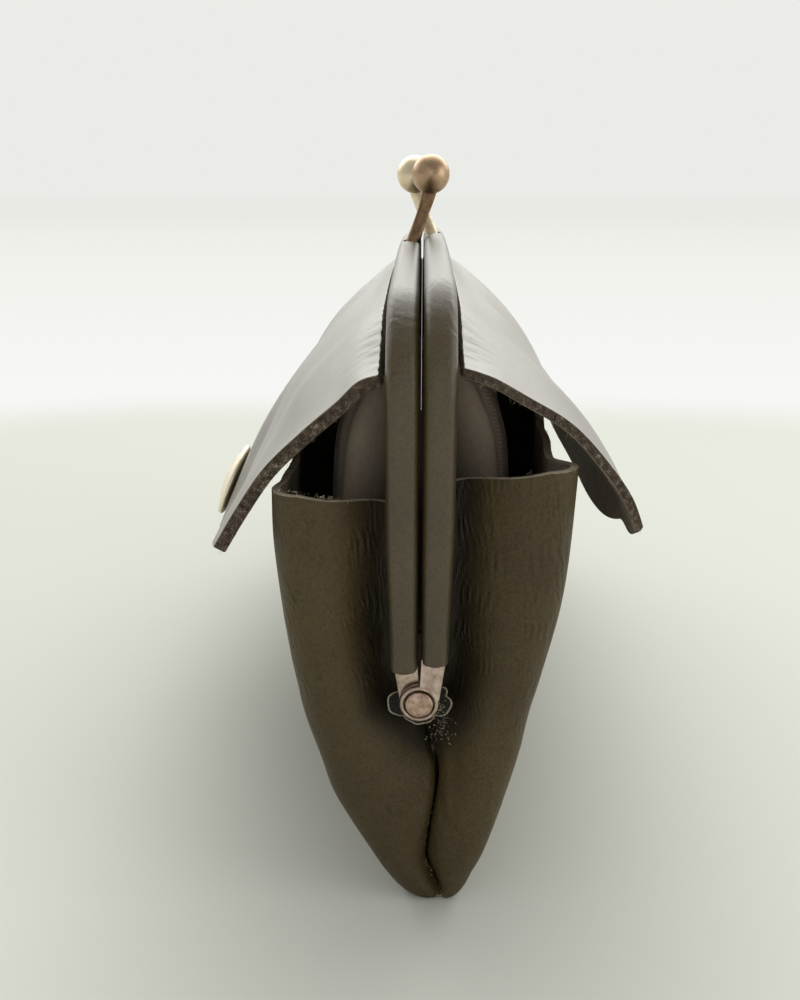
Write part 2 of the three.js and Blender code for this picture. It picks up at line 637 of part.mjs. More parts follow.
// Hidden stud on the front pocket wall, a plain disc that the socket closes on.
function snapStud() {
  return new THREE.CylinderGeometry(STUD_RADIUS, STUD_RADIUS * STUD_BACK_SHARE, STUD_THICK, ROUND_SIDES);
}

// Materials

function leather() {
  return new THREE.MeshStandardMaterial({ color: 0x5a5240, roughness: 0.62, metalness: 0 });
}

function bagCloth() {
  return new THREE.MeshStandardMaterial({ color: 0x85796a, roughness: 0.8, metalness: 0 });
}

function nickel() {
  return new THREE.MeshStandardMaterial({ color: 0xa8967c, roughness: 0.35, metalness: 1 });
}

function paleGold() {
  return new THREE.MeshStandardMaterial({ color: 0xd8c49a, roughness: 0.3, metalness: 1 });
}

function glueFelt() {
  return new THREE.MeshStandardMaterial({ color: 0x7d776b, roughness: 0.7, metalness: 0 });
}

// Assembly

const purse = new THREE.Group();

function addPiece(parent, name, geometry, material) {
  const mesh = new THREE.Mesh(geometry, material);
  mesh.name = name;
  parent.add(mesh);
  return mesh;
}

for (const name of ['front', 'back']) {
  addPiece(purse, `frame_${name}`, frameHalf(name), nickel());
  addPiece(purse, `frame_cover_${name}`, frameCover(name), leather());
  addPiece(purse, `outer_wall_${name}`, outerWall(name), leather());
}
addPiece(purse, 'flap_front', flapFront(), leather());
addPiece(purse, 'flap_back', flapBack(), leather());
addPiece(purse, 'inner_bag', innerBag(), bagCloth());

for (const [name, turn] of [['left', Math.PI], ['right', 0]]) {
  const end = new THREE.Group();
  end.rotation.z = turn;
  purse.add(end);
  const rivet = addPiece(end, `hinge_rivet_${name}`, hingeRivet(), nickel());
  rivet.rotation.z = -Math.PI / 2;
  rivet.position.z = HINGE_Z;
  addPiece(end, `hinge_pad_${name}`, hingePad(), glueFelt());
}

const snap = addPiece(purse, 'snap_cap_front', snapCap(), paleGold());
const { middle: snapMiddle, out: snapOut } = snapPlace();
snap.position.copy(snapMiddle);
snap.quaternion.setFromUnitVectors(new THREE.Vector3(0, 1, 0), snapOut);

const stud = addPiece(purse, 'snap_stud_front', snapStud(), paleGold());
const studWallY = MID_HALF_WIDTH * tableValue(WALL_ROWS, 'z', 'mid', STUD_Z / WALL_HEIGHT);
stud.position.set(0, -(studWallY + CLEAR + STUD_THICK / 2), STUD_Z);

export default purse;
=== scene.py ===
# %% [markdown]
# # A kiss lock purse in leather
#
# The purse stands on its narrow bottom and is seen from one end. A leather-covered clasp frame carries
# an inner bag, two outer walls that make open pockets, and two flaps that hang over the pockets.
#
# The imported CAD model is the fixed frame. Its metal and leather solids are simple, so almost every one
# is replaced by a finer surface that is worked out here with numpy from the same sizes. Sizes below are
# in millimetres: X runs along the purse, -Y is the front with the snap, and Z is up.

import bpy
import numpy as np
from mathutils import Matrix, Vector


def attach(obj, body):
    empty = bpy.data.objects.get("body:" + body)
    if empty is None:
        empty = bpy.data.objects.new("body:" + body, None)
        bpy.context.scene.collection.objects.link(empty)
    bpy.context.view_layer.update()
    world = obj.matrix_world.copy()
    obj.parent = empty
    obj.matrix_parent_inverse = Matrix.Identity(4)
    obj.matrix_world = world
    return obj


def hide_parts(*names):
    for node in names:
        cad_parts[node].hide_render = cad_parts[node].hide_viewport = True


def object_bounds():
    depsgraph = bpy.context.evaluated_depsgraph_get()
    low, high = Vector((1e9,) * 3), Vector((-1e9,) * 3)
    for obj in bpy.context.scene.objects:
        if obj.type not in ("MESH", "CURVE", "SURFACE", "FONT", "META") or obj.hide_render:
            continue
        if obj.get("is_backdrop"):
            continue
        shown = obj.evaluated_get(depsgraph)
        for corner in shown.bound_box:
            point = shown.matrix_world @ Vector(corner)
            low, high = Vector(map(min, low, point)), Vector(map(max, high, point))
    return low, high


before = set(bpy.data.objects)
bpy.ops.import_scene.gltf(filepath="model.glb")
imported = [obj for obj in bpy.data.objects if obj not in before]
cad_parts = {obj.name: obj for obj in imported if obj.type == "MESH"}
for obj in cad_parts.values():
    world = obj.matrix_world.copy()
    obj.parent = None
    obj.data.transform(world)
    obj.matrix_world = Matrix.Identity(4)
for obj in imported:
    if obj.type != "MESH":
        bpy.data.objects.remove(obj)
cad_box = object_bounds()
scene = bpy.context.scene
print("CAD nodes:", ", ".join(sorted(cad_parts)))

# %% [markdown]
# ## Camera
#
# A camera is easiest to match when its lens is settled first. The long side of the picture is 1000
# pixels, and the ends of the purse converge as they do through a lens of about 34 mm. The camera stands
# a hand's breadth from the near end, a little above the lock's foot, and looks down at the hinge.

# %% Camera
MM = 0.001
CAMERA_PLACE = (223.0, 0.0, 117.7)
CAMERA_PITCH = 18.5  # degrees below level
CAMERA_YAW = 1.3  # degrees towards the front of the purse
LONG_SIDE = 1000  # pixels
FOCAL_LENGTH = 955  # pixels

camera_data = bpy.data.cameras.new("camera")
camera_data.sensor_width = 36
camera_data.lens = camera_data.sensor_width * FOCAL_LENGTH / LONG_SIDE
camera_data.clip_start = 0.005
camera_data.clip_end = 30
camera = bpy.data.objects.new("camera", camera_data)
camera.location = [value * MM for value in CAMERA_PLACE]
camera.rotation_euler = np.radians([90 - CAMERA_PITCH, 0, 90 + CAMERA_YAW])
scene.collection.objects.link(camera)
scene.camera = camera
print("lens in mm:", round(camera_data.lens, 1))

# %% [markdown]
# ## Sizes and small helpers
#
# Every shape below is a function of two parameters on a grid. Three helpers carry that: `smooth` eases
# from 0 to 1, `mix` goes from one value to another, and `curve` reads a short table along a smooth line
# that never overshoots its rows, so a few chosen rows give a whole profile.

# %% Sizes of the purse, in millimetres
SIDE = {"front": -1, "back": 1}
LIFT = {"front": 0, "back": 1.3}  # the back half of the frame sits higher
LEG_X = 87
LEG_END_Z = 44.5
RAIL_Z = 98.6
CORNER_RADIUS = 12
RAIL_CROWN = 3.4
FRAME_GAP = 0.6
COVER_WIDTH = 4.95
COVER_END_WIDTH = 4.35
COVER_TAPER_LENGTH = 26
COVER_DEPTH = 6.4
COVER_WALL = 0.8
ROUNDING = 3.2
CLEAR = 0.3
HINGE_Z = 38.6
ENDS = {"right": 1, "left": -1}
CORNER_X = LEG_X - CORNER_RADIUS
CORNER_Z = RAIL_Z - CORNER_RADIUS
COVER_OUTER_Y = FRAME_GAP / 2 + COVER_WIDTH


# %% Helpers for shapes
def smooth(value):
    """Eases from 0 to 1: three times the square less twice the cube."""
    x = np.clip(value, 0, 1)
    return x * x * (3 - 2 * x)


def mix(a, b, share):
    """The value that lies share of the way from a to b."""
    return a + (b - a) * share


def curve(table, column, place):
    """Monotone cubic through a table's rows: each slope is the harmonic mean of its neighbours'."""
    keys = np.array(table["at"], float)
    values = np.array(table[column], float)
    chord = np.diff(values) / np.diff(keys)
    both = chord[:-1] * chord[1:]
    mean = np.where(both > 0, 2 * both / np.where(both > 0, chord[:-1] + chord[1:], 1), 0)
    slope = np.concatenate([chord[:1], mean, chord[-1:]])
    x = np.clip(place, keys[0], keys[-1])
    i = np.clip(np.searchsorted(keys, x, side="right") - 1, 0, len(keys) - 2)
    width = keys[i + 1] - keys[i]
    u = (x - keys[i]) / width
    bend = (slope[i] - chord[i]) * (1 - u) - (slope[i + 1] - chord[i]) * u
    return mix(values[i], values[i + 1], u) + width * u * (1 - u) * bend


def waves(x, y, size, seed):
    """Slow irregular waves between about -1 and 1: five sines of mixed direction and length."""
    choose = np.random.default_rng(seed)
    turns, stretches, phases = [choose.uniform(*ends, 5) for ends in ((0, np.pi), (0.6, 1.7), (0, 6))]
    total = 0
    for turn, stretch, phase in zip(turns, stretches, phases):
        total = total + np.sin((x * np.cos(turn) + y * np.sin(turn)) * 2 * np.pi / (size * stretch) + phase)
    return total / 3


def ripple(phase):
    """A sine moved to run from 0 to 1."""
    return 0.5 + 0.5 * np.sin(phase)


def squarish(angle, power):
    """Cosine and sine of a superellipse: the higher the power, the squarer the section."""
    return [np.sign(part) * np.abs(part) ** (2 / power) for part in (np.cos(angle), np.sin(angle))]


# %% [markdown]
# A mesh is filled straight from numpy arrays, which is fast also for fine grids. `add_piece` takes points
# in millimetres and faces, and `sheet_piece` gives a grid of middle points the thickness of leather. The
# Solidify modifier puts the flesh side and the cut edge on material slots of their own, and Bevel rounds
# the edge a little, as a knife and wear leave it.

# %% Helpers for meshes
HAIR_STEPS = 5
HAIR_CURL = 0.55  # share of its length that a hair bends aside
HAIR_THICK = 0.07  # mm at the root


def grid_faces(rows, columns, wrap_rows=False, wrap_columns=False):
    """Four-cornered faces between neighbours; a face's front follows row direction x column direction."""
    index = np.arange(rows * columns).reshape(rows, columns)
    if wrap_columns:
        index = np.column_stack([index, index[:, 0]])
    if wrap_rows:
        index = np.vstack([index, index[:1]])
    return np.stack([index[:-1, :-1], index[1:, :-1], index[1:, 1:], index[:-1, 1:]], axis=-1).reshape(-1, 4)


def end_caps(rows, sides):
    """Fans of triangles that close the first and the last ring of a tube."""
    first = np.arange(sides)
    last = first + sides * (rows - 1)
    return np.vstack([
        np.stack([np.full(sides - 2, ring[0]), ring[1:-1], ring[2:]], axis=-1)[:, ::order]
        for ring, order in ((first, -1), (last, 1))])


def pole_fans(rows, steps):
    """Fans of triangles from two poles, listed after a grid's points, to its first and its last ring."""
    this = np.arange(steps)
    after = (this + 1) % steps
    last = (rows - 1) * steps
    return np.vstack([
        np.stack([np.full(steps, rows * steps), after, this], axis=-1),
        np.stack([np.full(steps, rows * steps + 1), last + this, last + after], axis=-1),
    ])


def add_piece(name, points, faces, triangles=(), materials=()):
    """One mesh object on the root body, from points in mm and arrays of four- and three-cornered faces."""
    faces = np.asarray(faces, int).reshape(-1, 4)
    triangles = np.asarray(triangles, int).reshape(-1, 3)
    corners = np.concatenate([faces.ravel(), triangles.ravel()])
    starts = np.concatenate([4 * np.arange(len(faces)), faces.size + 3 * np.arange(len(triangles))])
    mesh = bpy.data.meshes.new(name)
    mesh.vertices.add(len(points))
    mesh.vertices.foreach_set("co", np.ascontiguousarray(points * MM, dtype=np.float32).ravel())
    mesh.loops.add(len(corners))
    mesh.loops.foreach_set("vertex_index", corners.astype(np.int32))
    mesh.polygons.add(len(starts))
    mesh.polygons.foreach_set("loop_start", starts.astype(np.int32))
    mesh.update(calc_edges=True)
    mesh.validate()
    mesh.shade_smooth()
    for material in materials:
        mesh.materials.append(material)
    piece = bpy.data.objects.new(name, mesh)
    scene.collection.objects.link(piece)
    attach(piece, "root")
    print(f"{name}: {len(points)} points, {len(starts)} faces")
    return piece


def sheet_piece(
        name, grid, thickness, materials, offset=0, edge_round=0.22, wrap_columns=False,
        keep=None, uv=None):
    """A sheet of leather or cloth through a grid of points; keep is a mask of the faces that are left in."""
    rows, columns = grid.shape[:2]
    faces = grid_faces(rows, columns, wrap_columns=wrap_columns)
    if keep is not None:
        faces = faces[keep.ravel()]
    piece = add_piece(name, grid.reshape(-1, 3), faces, materials=materials)
    if uv is not None:
        corner = np.empty(len(piece.data.loops), np.int32)
        piece.data.loops.foreach_get("vertex_index", corner)
        place = np.ascontiguousarray(uv.reshape(-1, 2)[corner], dtype=np.float32)
        piece.data.uv_layers.new(name="cloth_mm").data.foreach_set("uv", place.ravel())
    solid = piece.modifiers.new("thickness", "SOLIDIFY")
    solid.thickness = thickness * MM
    solid.offset = offset
    solid.material_offset = 1
    solid.material_offset_rim = 2
    bevel = piece.modifiers.new("rounded_edge", "BEVEL")
    bevel.limit_method = "ANGLE"
    bevel.angle_limit = np.radians(50)
    bevel.width = edge_round * MM
    bevel.segments = 3
    return piece


def mark(piece, name, values):
    """Stores one number per point as an attribute that a material can read."""
    layer = piece.data.attributes.new(name, "FLOAT", "POINT")
    layer.data.foreach_set("value", np.ascontiguousarray(values, dtype=np.float32).ravel())


def turned_piece(name, profile, steps, centre, axis, material, node):
    """A solid turned about an axis through centre; the (radius, height) profile starts and ends on it."""
    angle = np.linspace(0, 2 * np.pi, steps, endpoint=False)
    radius, height = np.array(profile, float).T
    axis = np.array(axis, float) / np.linalg.norm(axis)
    first = np.cross(axis, [0, 0, 1] if abs(axis[2]) < 0.7 else [1, 0, 0])
    first /= np.linalg.norm(first)
    second = np.cross(axis, first)
    spoke = np.cos(angle)[:, None] * first + np.sin(angle)[:, None] * second
    rings = radius[1:-1, None, None] * spoke + height[1:-1, None, None] * axis
    points = np.vstack([rings.reshape(-1, 3), height[[0, -1], None] * axis]) + centre
    faces = grid_faces(len(rings), steps, wrap_columns=True)[:, ::-1]
    piece = add_piece(name, points, faces, pole_fans(len(rings), steps), [material])
    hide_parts(node)


def fibres(name, roots, aim, length, material, seed):
    """Short hairs: three-sided tapered tubes along root + aim * length * t, bent sideways by t squared."""
    choose = np.random.default_rng(seed)
    count = len(roots)
    aim = aim + choose.normal(0, 0.45, (count, 3))
    aim /= np.linalg.norm(aim, axis=1, keepdims=True)
    bend = np.cross(aim, choose.normal(0, 1, (count, 3)))
    bend /= np.linalg.norm(bend, axis=1, keepdims=True)
    other = np.cross(aim, bend)
    run = (length * choose.uniform(0.35, 1.15, count))[:, None, None]
    t = np.linspace(0, 1, HAIR_STEPS + 1)[None, :, None]
    path = roots[:, None] + aim[:, None] * run * t + bend[:, None] * run * HAIR_CURL * t ** 2
    path = path + other[:, None] * run * HAIR_CURL * 0.5 * np.sin(t * 4)
    angle = np.arange(3) * 2 * np.pi / 3
    ring = bend[:, None] * np.cos(angle)[None, :, None] + other[:, None] * np.sin(angle)[None, :, None]
    points = path[:, :, None] + ring[:, None] * (HAIR_THICK / 2 * (1 - 0.6 * t))[..., None]
    shell = grid_faces(HAIR_STEPS + 1, 3, wrap_columns=True)[:, ::-1]
    tips = np.array([[0, 2, 1], np.array([0, 1, 2]) + 3 * HAIR_STEPS])
    first = (np.arange(count) * 3 * (HAIR_STEPS + 1))[:, None, None]
    faces, triangles = [(part[None] + first).reshape(-1, part.shape[1]) for part in (shell, tips)]
    add_piece(name, points.reshape(-1, 3), faces, triangles, [material])


# %% [markdown]
# ## Materials
#
# Colours are picked as screen hex values and turned to the linear values that a shader works with. One
# small function adds a node with its settings and its links, and every material is written with it.

# %% Helpers for materials
def linear(code):
    """Linear RGBA of an sRGB hex colour."""
    screen = np.array([int(code[i:i + 2], 16) for i in (1, 3, 5)]) / 255
    light = np.where(screen <= 0.04045, screen / 12.92, ((screen + 0.055) / 1.055) ** 2.4)
    return (*light.tolist(), 1.0)


def plug(node, inputs):
    """Fills inputs: a value is set, an output is linked, and a node stands for its first output."""
    for name, value in inputs.items():
        if isinstance(value, bpy.types.Node):
            value = value.outputs[0]
        if isinstance(value, bpy.types.NodeSocket):
            node.id_data.links.new(value, node.inputs[name])
        else:
            node.inputs[name].default_value = value


def add_node(tree, kind, inputs=None, **settings):
    """A node with its settings and its inputs."""
    node = tree.nodes.new(kind)
    for name, value in settings.items():
        setattr(node, name, value)
    plug(node, inputs or {})
    return node


def new_material(name):
    """A material, its node tree and shader, and the Object coordinates that its patterns are read on."""
    material = bpy.data.materials.new(name)
    material.use_nodes = True
    tree = material.node_tree
    place = add_node(tree, "ShaderNodeTexCoord").outputs["Object"]
    return material, tree, tree.nodes["Principled BSDF"], place


def ramp(tree, factor, stops):
    """Colour ramp through (place, hex colour) stops."""
    node = add_node(tree, "ShaderNodeValToRGB", {"Fac": factor})
    elements = node.color_ramp.elements
    while len(elements) < len(stops):
        elements.new(0.5)
    for element, (place, code) in zip(elements, stops):
        element.position = place
        element.color = linear(code)
    return node


# %% [markdown]
# The leather is full-grain cowhide, drum dyed and only lightly finished: the eye sees a fine pebble of
# rounded cells less than half a millimetre wide, a soft satin gloss, and a tone that wanders slowly. Where
# the leather is bent or pinched, the cells are drawn out into wrinkles. Rounded cells come from a
# three-dimensional cell pattern: one less the distance to the nearest middle, squared, is a little dome.
# It is read on Object coordinates, bent by noise so that no two cells are alike, so nothing stretches on
# the folds. A second, long-celled pattern gives the creases that run up and down, and finer noise the pores.

# %% Leather
GRAIN_CELL = 0.46  # mm
CREASE_CELL = 1.1  # mm across; the creases are drawn out to three times this
CREASE_HEIGHT = 0.1  # share of the relief
PORE_CELL = 0.2  # mm
PORE_SHARE = 0.72  # of the fine relief; the pebble has the rest


def leather(name, pale, dark, crease, roughness, relief, ribs, specular, wax=0.0):
    """Full-grain leather: warped domes for the pebble, long cells for creases, noise for pores and tone."""
    material, tree, shader, place = new_material(name)
    drift = add_node(
        tree, "ShaderNodeTexNoise", {"Vector": place, "Scale": 0.5 / (GRAIN_CELL * MM), "Detail": 3.0})
    centred = add_node(
        tree, "ShaderNodeVectorMath", {0: drift.outputs["Color"], 1: (0.5, 0.5, 0.5)}, operation="SUBTRACT")
    warp = add_node(
        tree, "ShaderNodeVectorMath", {0: centred, "Scale": 2.0 * GRAIN_CELL * MM}, operation="SCALE")
    moved = add_node(tree, "ShaderNodeVectorMath", {0: place, 1: warp}, operation="ADD")
    cells = add_node(tree, "ShaderNodeTexVoronoi", {"Vector": moved, "Scale": 1 / (GRAIN_CELL * MM)})
    dome = add_node(tree, "ShaderNodeMath", {0: cells, 1: 1.7}, operation="POWER")
    pebble = add_node(tree, "ShaderNodeMapRange", {"Value": dome, "To Min": 1.0, "To Max": 0.0})
    drawn = add_node(tree, "ShaderNodeMapping", {"Vector": moved, "Scale": (1, 1, 0.32)})
    long_cells = add_node(
        tree, "ShaderNodeTexVoronoi", {"Vector": drawn, "Scale": 1 / (CREASE_CELL * MM)},
        feature="DISTANCE_TO_EDGE")
    ridge = add_node(
        tree, "ShaderNodeMapRange", {"Value": long_cells, "From Max": 0.22}, interpolation_type="SMOOTHSTEP")
    pores = add_node(
        tree, "ShaderNodeTexNoise", {"Vector": moved, "Scale": 1 / (PORE_CELL * MM), "Detail": 3.0})
    fine = add_node(tree, "ShaderNodeMix", {"Factor": PORE_SHARE, 2: pebble, 3: pores}, data_type="FLOAT")
    height = add_node(tree, "ShaderNodeMath", {0: ridge, 1: CREASE_HEIGHT, 2: fine}, operation="MULTIPLY_ADD")
    tone = add_node(
        tree, "ShaderNodeTexNoise", {"Vector": place, "Scale": 60.0, "Detail": 4.0, "Roughness": 0.6})
    ground = ramp(tree, tone, [(0.32, dark), (0.68, pale)])
    hollow = add_node(
        tree, "ShaderNodeMapRange", {"Value": fine, "From Min": 0.4, "From Max": 0.68, "To Min": 0.4})
    grain = add_node(
        tree, "ShaderNodeMix", {"Factor": hollow, 6: linear(crease), 7: ground}, data_type="RGBA")
    # Painted shade: the fold attribute darkens the colour towards near black in the walls' folds beside the
    # legs and under the hinge, where shade falls.
    fold_shade = add_node(tree, "ShaderNodeAttribute", attribute_name="fold").outputs["Fac"]
    colour = add_node(
        tree, "ShaderNodeMix",
        {"Factor": fold_shade, 6: grain.outputs[2], 7: linear("#1d1810")}, data_type="RGBA")
    gloss = add_node(tree, "ShaderNodeMapRange", {
        "Value": pores, "From Min": 0.3, "From Max": 0.7,
        "To Min": roughness - 0.05, "To Max": roughness + 0.08})
    bump = add_node(tree, "ShaderNodeBump", {"Height": height, "Distance": relief * MM})
    lifted = add_node(tree, "ShaderNodeAttribute", attribute_name="ribs").outputs["Fac"]
    wrinkled = add_node(tree, "ShaderNodeBump", {"Height": lifted, "Distance": ribs * MM, "Normal": bump})
    plug(shader, {
        "Base Color": colour.outputs[2], "Roughness": gloss, "Normal": wrinkled, "IOR": 1.5,
        "Specular IOR Level": specular, "Coat Weight": wax, "Coat Roughness": 0.45})
    return material


body_leather = leather("body_leather", "#584a2c", "#4b3f25", "#2c2310", 0.5, 0.14, ribs=0.4, specular=0.3)
cover_leather = leather(
    "cover_leather", "#53462a", "#463a21", "#2d2413", 0.42, 0.09, ribs=0.14, specular=0.25, wax=0.65)
flap_leather = leather(
    "flap_leather", "#6b6048", "#5d523b", "#484031", 0.4, 0.1, ribs=0.2, specular=0.5, wax=0.9)

# %% [markdown]
# The other side of the hide is its flesh side, matt and short-napped, and a knife cut shows the packed
# fibres between the two: dark brown, speckled with paler fibre ends. Both are drawn with noise alone,
# because neither has the grain's cells.

# %% Flesh side and cut edge
def nap(name, pale, dark, fibre_mm, relief, specks=None):
    """Short nap or cut fibres: two scales of noise for tone and relief, and pale specks where fibres end."""
    material, tree, shader, place = new_material(name)
    scale = 1 / (fibre_mm * MM)
    fine = add_node(tree, "ShaderNodeTexNoise", {"Vector": place, "Scale": scale, "Detail": 5.0})
    broad = add_node(tree, "ShaderNodeTexNoise", {"Vector": place, "Scale": 0.12 * scale, "Detail": 2.0})
    both = add_node(tree, "ShaderNodeMix", {"Factor": 0.35, 2: fine, 3: broad}, data_type="FLOAT")
    stops = [(0.4, dark), (0.59, pale), (0.68, specks)] if specks else [(0.38, dark), (0.6, pale)]
    bump = add_node(tree, "ShaderNodeBump", {"Height": both, "Distance": relief * MM})
    plug(shader, {
        "Base Color": ramp(tree, both, stops), "Normal": bump, "Roughness": 0.85, "Specular IOR Level": 0.25})
    return material


flesh_side = nap("flesh_side", "#857a6b", "#5f574b", 0.3, 0.06)
cut_edge = nap("cut_edge", "#5f5144", "#241b13", 0.12, 0.12, specks="#bdaf9d")
pocket_edge = nap("pocket_edge", "#c6bba4", "#8f8571", 0.22, 0.06)
fibre_tip = nap("fibre_tip", "#b9ae98", "#94886f", 0.4, 0.02)

# %% [markdown]
# The inner bag is a fine cotton twill in a warm taupe. Its weave runs with the cloth, so it reads the
# piece's own UV map, which is laid out in millimetres along the cloth: two sets of threads cross, each
# a sine across its own direction, and the higher of the two is what the eye sees.

# %% Bag cloth
THREAD = 0.36  # mm between threads; the real ones are finer and wouldn't show


def cloth(name, pale, dark, roughness, relief):
    """Twill: the weft is shifted by one thread from row to row, so floats line up in diagonals."""
    material, tree, shader, place = new_material(name)
    uv = add_node(tree, "ShaderNodeUVMap", uv_map="cloth_mm")
    split = add_node(tree, "ShaderNodeSeparateXYZ", {"Vector": uv})
    turn = 2 * np.pi / THREAD
    across, along = [
        add_node(tree, "ShaderNodeMath", {0: split.outputs[axis], 1: turn}, operation="MULTIPLY")
        for axis in "XY"]
    diagonal = add_node(tree, "ShaderNodeMath", {0: across, 1: along}, operation="ADD")
    half = add_node(tree, "ShaderNodeMath", {0: diagonal, 1: 0.5}, operation="MULTIPLY")
    floats, threads = [
        add_node(tree, "ShaderNodeMath", {0: phase}, operation="SINE")
        for phase in (half, along)]
    total = add_node(tree, "ShaderNodeMath", {0: floats, 1: threads}, operation="ADD")
    weave = add_node(tree, "ShaderNodeMapRange", {"Value": total, "From Min": -2.0, "From Max": 2.0})
    slub = add_node(tree, "ShaderNodeTexNoise", {"Vector": place, "Scale": 900.0, "Detail": 3.0})
    both = add_node(tree, "ShaderNodeMix", {"Factor": 0.4, 2: weave, 3: slub}, data_type="FLOAT")
    # Painted shade: from 71 to 76 mm out along the cloth, towards the pinched ends deep between the frame's
    # legs, the colour darkens almost to black.
    from_middle = add_node(tree, "ShaderNodeMath", {0: split.outputs["X"]}, operation="ABSOLUTE")
    end_shade = add_node(
        tree, "ShaderNodeMapRange",
        {"Value": from_middle, "From Min": 71.0, "From Max": 76.0, "To Max": 0.93},
        interpolation_type="SMOOTHSTEP")
    weave_colour = ramp(tree, both, [(0.28, dark), (0.62, pale)])
    colour = add_node(
        tree, "ShaderNodeMix", {"Factor": end_shade, 6: weave_colour, 7: linear("#1f1a14")}, data_type="RGBA")
    bump = add_node(tree, "ShaderNodeBump", {"Height": both, "Distance": relief * MM})
    plug(shader, {
        "Base Color": colour.outputs[2], "Normal": bump, "Roughness": roughness, "Specular IOR Level": 0.25,
        "Sheen Weight": 0.15})
    return material


bag_cloth = cloth("bag_cloth", "#dcc9b2", "#b3a08a", 0.8, 0.03)

# %% [markdown]
# The metal is nickel-toned brass, drawn and stamped, then antiqued: the high places are pale and the low
# ones brown where the darkening was left. Handling leaves small soft scratches, which only change the
# roughness.

# %% Metal
def metal(name, bright, stained, stain_share, roughness, stain_mm=1.6):
    """Plated metal: cloudy stains between two tones, and fine scratches in the roughness."""
    material, tree, shader, place = new_material(name)
    cloud = add_node(
        tree, "ShaderNodeTexNoise",
        {"Vector": place, "Scale": 1 / (stain_mm * MM), "Detail": 5.0, "Roughness": 0.65})
    shift = stain_share * 0.3
    scratch = add_node(
        tree, "ShaderNodeTexNoise", {"Vector": place, "Scale": 2600.0, "Detail": 3.0, "Distortion": 1.2})
    gloss = add_node(
        tree, "ShaderNodeMapRange",
        {"Value": scratch, "To Min": roughness - 0.08, "To Max": roughness + 0.12})
    colour = ramp(tree, cloud, [(0.5 - shift, bright), (0.9 - shift, stained)])
    plug(shader, {"Base Color": colour, "Roughness": gloss, "Metallic": 1.0})
    return material


hinge_metal = metal("hinge_metal", "#bdab9c", "#826d5d", 0.35, 0.34)
rivet_metal = metal("rivet_metal", "#ccb2a0", "#7b5d50", 0.6, 0.3, stain_mm=1.1)
# Painted shade and painted light: the lock's front stem and ball get darker copies of its metal, and the back
# stem and ball a paler copy, as the light falls on them.
lock_metal = metal("lock_metal", "#b89d80", "#8b6f55", 0.4, 0.38, stain_mm=3)
shaded_stem_metal = metal("shaded_stem_metal", "#8a7056", "#5b4633", 0.5, 0.4, stain_mm=1.5)
lit_lock_metal = metal("lit_lock_metal", "#e2d5b8", "#c0ab86", 0.25, 0.36, stain_mm=3)
snap_metal = metal("snap_metal", "#f0e6cf", "#d9c8a4", 0.15, 0.4, stain_mm=4)

# %% [markdown]
# ## Clasp frame
#
# Each half of the frame is a bent rail in a leather sleeve. The path of the rail is worked out once: up
# a leg, round a corner, over the slightly crowned top and down again. A superellipse section is carried
# along it, which gives the flat face and the soft edges of leather pulled round a bar.

# %% Path and section of the frame
def rail_z(x, half):
    """Height of the rail's middle: a shallow parabola over its length."""
    return RAIL_Z + RAIL_CROWN * (1 - (x / LEG_X) ** 2) + LIFT[half]


def frame_path(half, lower_z, leg_steps, corner_steps, rail_x):
    """Centre line from the -X leg end over the top to the +X one, and the outward direction in its plane."""
    angle = np.linspace(0, np.pi / 2, corner_steps, endpoint=False)
    x = np.concatenate([np.full(leg_steps, LEG_X), CORNER_X + CORNER_RADIUS * np.cos(angle), rail_x])
    z = np.concatenate([
        np.linspace(lower_z, CORNER_Z, leg_steps, endpoint=False),
        CORNER_Z + CORNER_RADIUS * np.sin(angle),
        np.full(len(rail_x), RAIL_Z),
    ])
    z = z + rail_z(x, half) - RAIL_Z
    x = np.concatenate([-x, x[-2::-1]])
    z = np.concatenate([z, z[-2::-1]])
    centre = np.stack([x, np.zeros_like(x), z], axis=-1)
    along = np.gradient(centre, axis=0)
    along /= np.linalg.norm(along, axis=1, keepdims=True)
    out = np.stack([-along[:, 2], np.zeros(len(x)), along[:, 0]], axis=-1)
    return centre, out


def frame_tube(half, path, inset, sides):
    """Superellipse rings along the path; the cover is pressed thinner above the hinge."""
    centre, out = path
    taper = 1 - smooth((centre[:, 2] - LIFT[half] - LEG_END_Z) / COVER_TAPER_LENGTH)
    width = mix(COVER_WIDTH, COVER_END_WIDTH, taper)[:, None]
    across, up = squarish(-2 * np.pi * (np.arange(sides) + 0.5) / sides, ROUNDING)
    grid = centre[:, None] + out[:, None] * ((COVER_DEPTH / 2 - inset) * up)[None, :, None]
    grid[:, :, 1] += SIDE[half] * (FRAME_GAP + width) / 2 + (width / 2 - inset) * across
    return grid


# %% [markdown]
# The leather sleeve is smooth on the straights and gathers into fine wrinkles inside the corners, where
# there is too much of it. An attribute of the points carries these ribs, and the material raises them. On
# top, an oval cut-out lets the lock's stem through: the faces inside it are simply left out before the
# sheet gets its thickness.

# %% Frame covers
BALL_DIAMETER = 8.2
BALL_GAP = 0.6
BALL_Z = 119
BALL_CROSS = 1.7
CUTOUT_LENGTH = 7.5
CUTOUT_WIDTH = 3.0
COVER_SIDES = 48


def stem_x(half):
    """Place of a half's stem along the rail: the balls pass side by side."""
    return -SIDE[half] * (BALL_DIAMETER + BALL_GAP) / 2


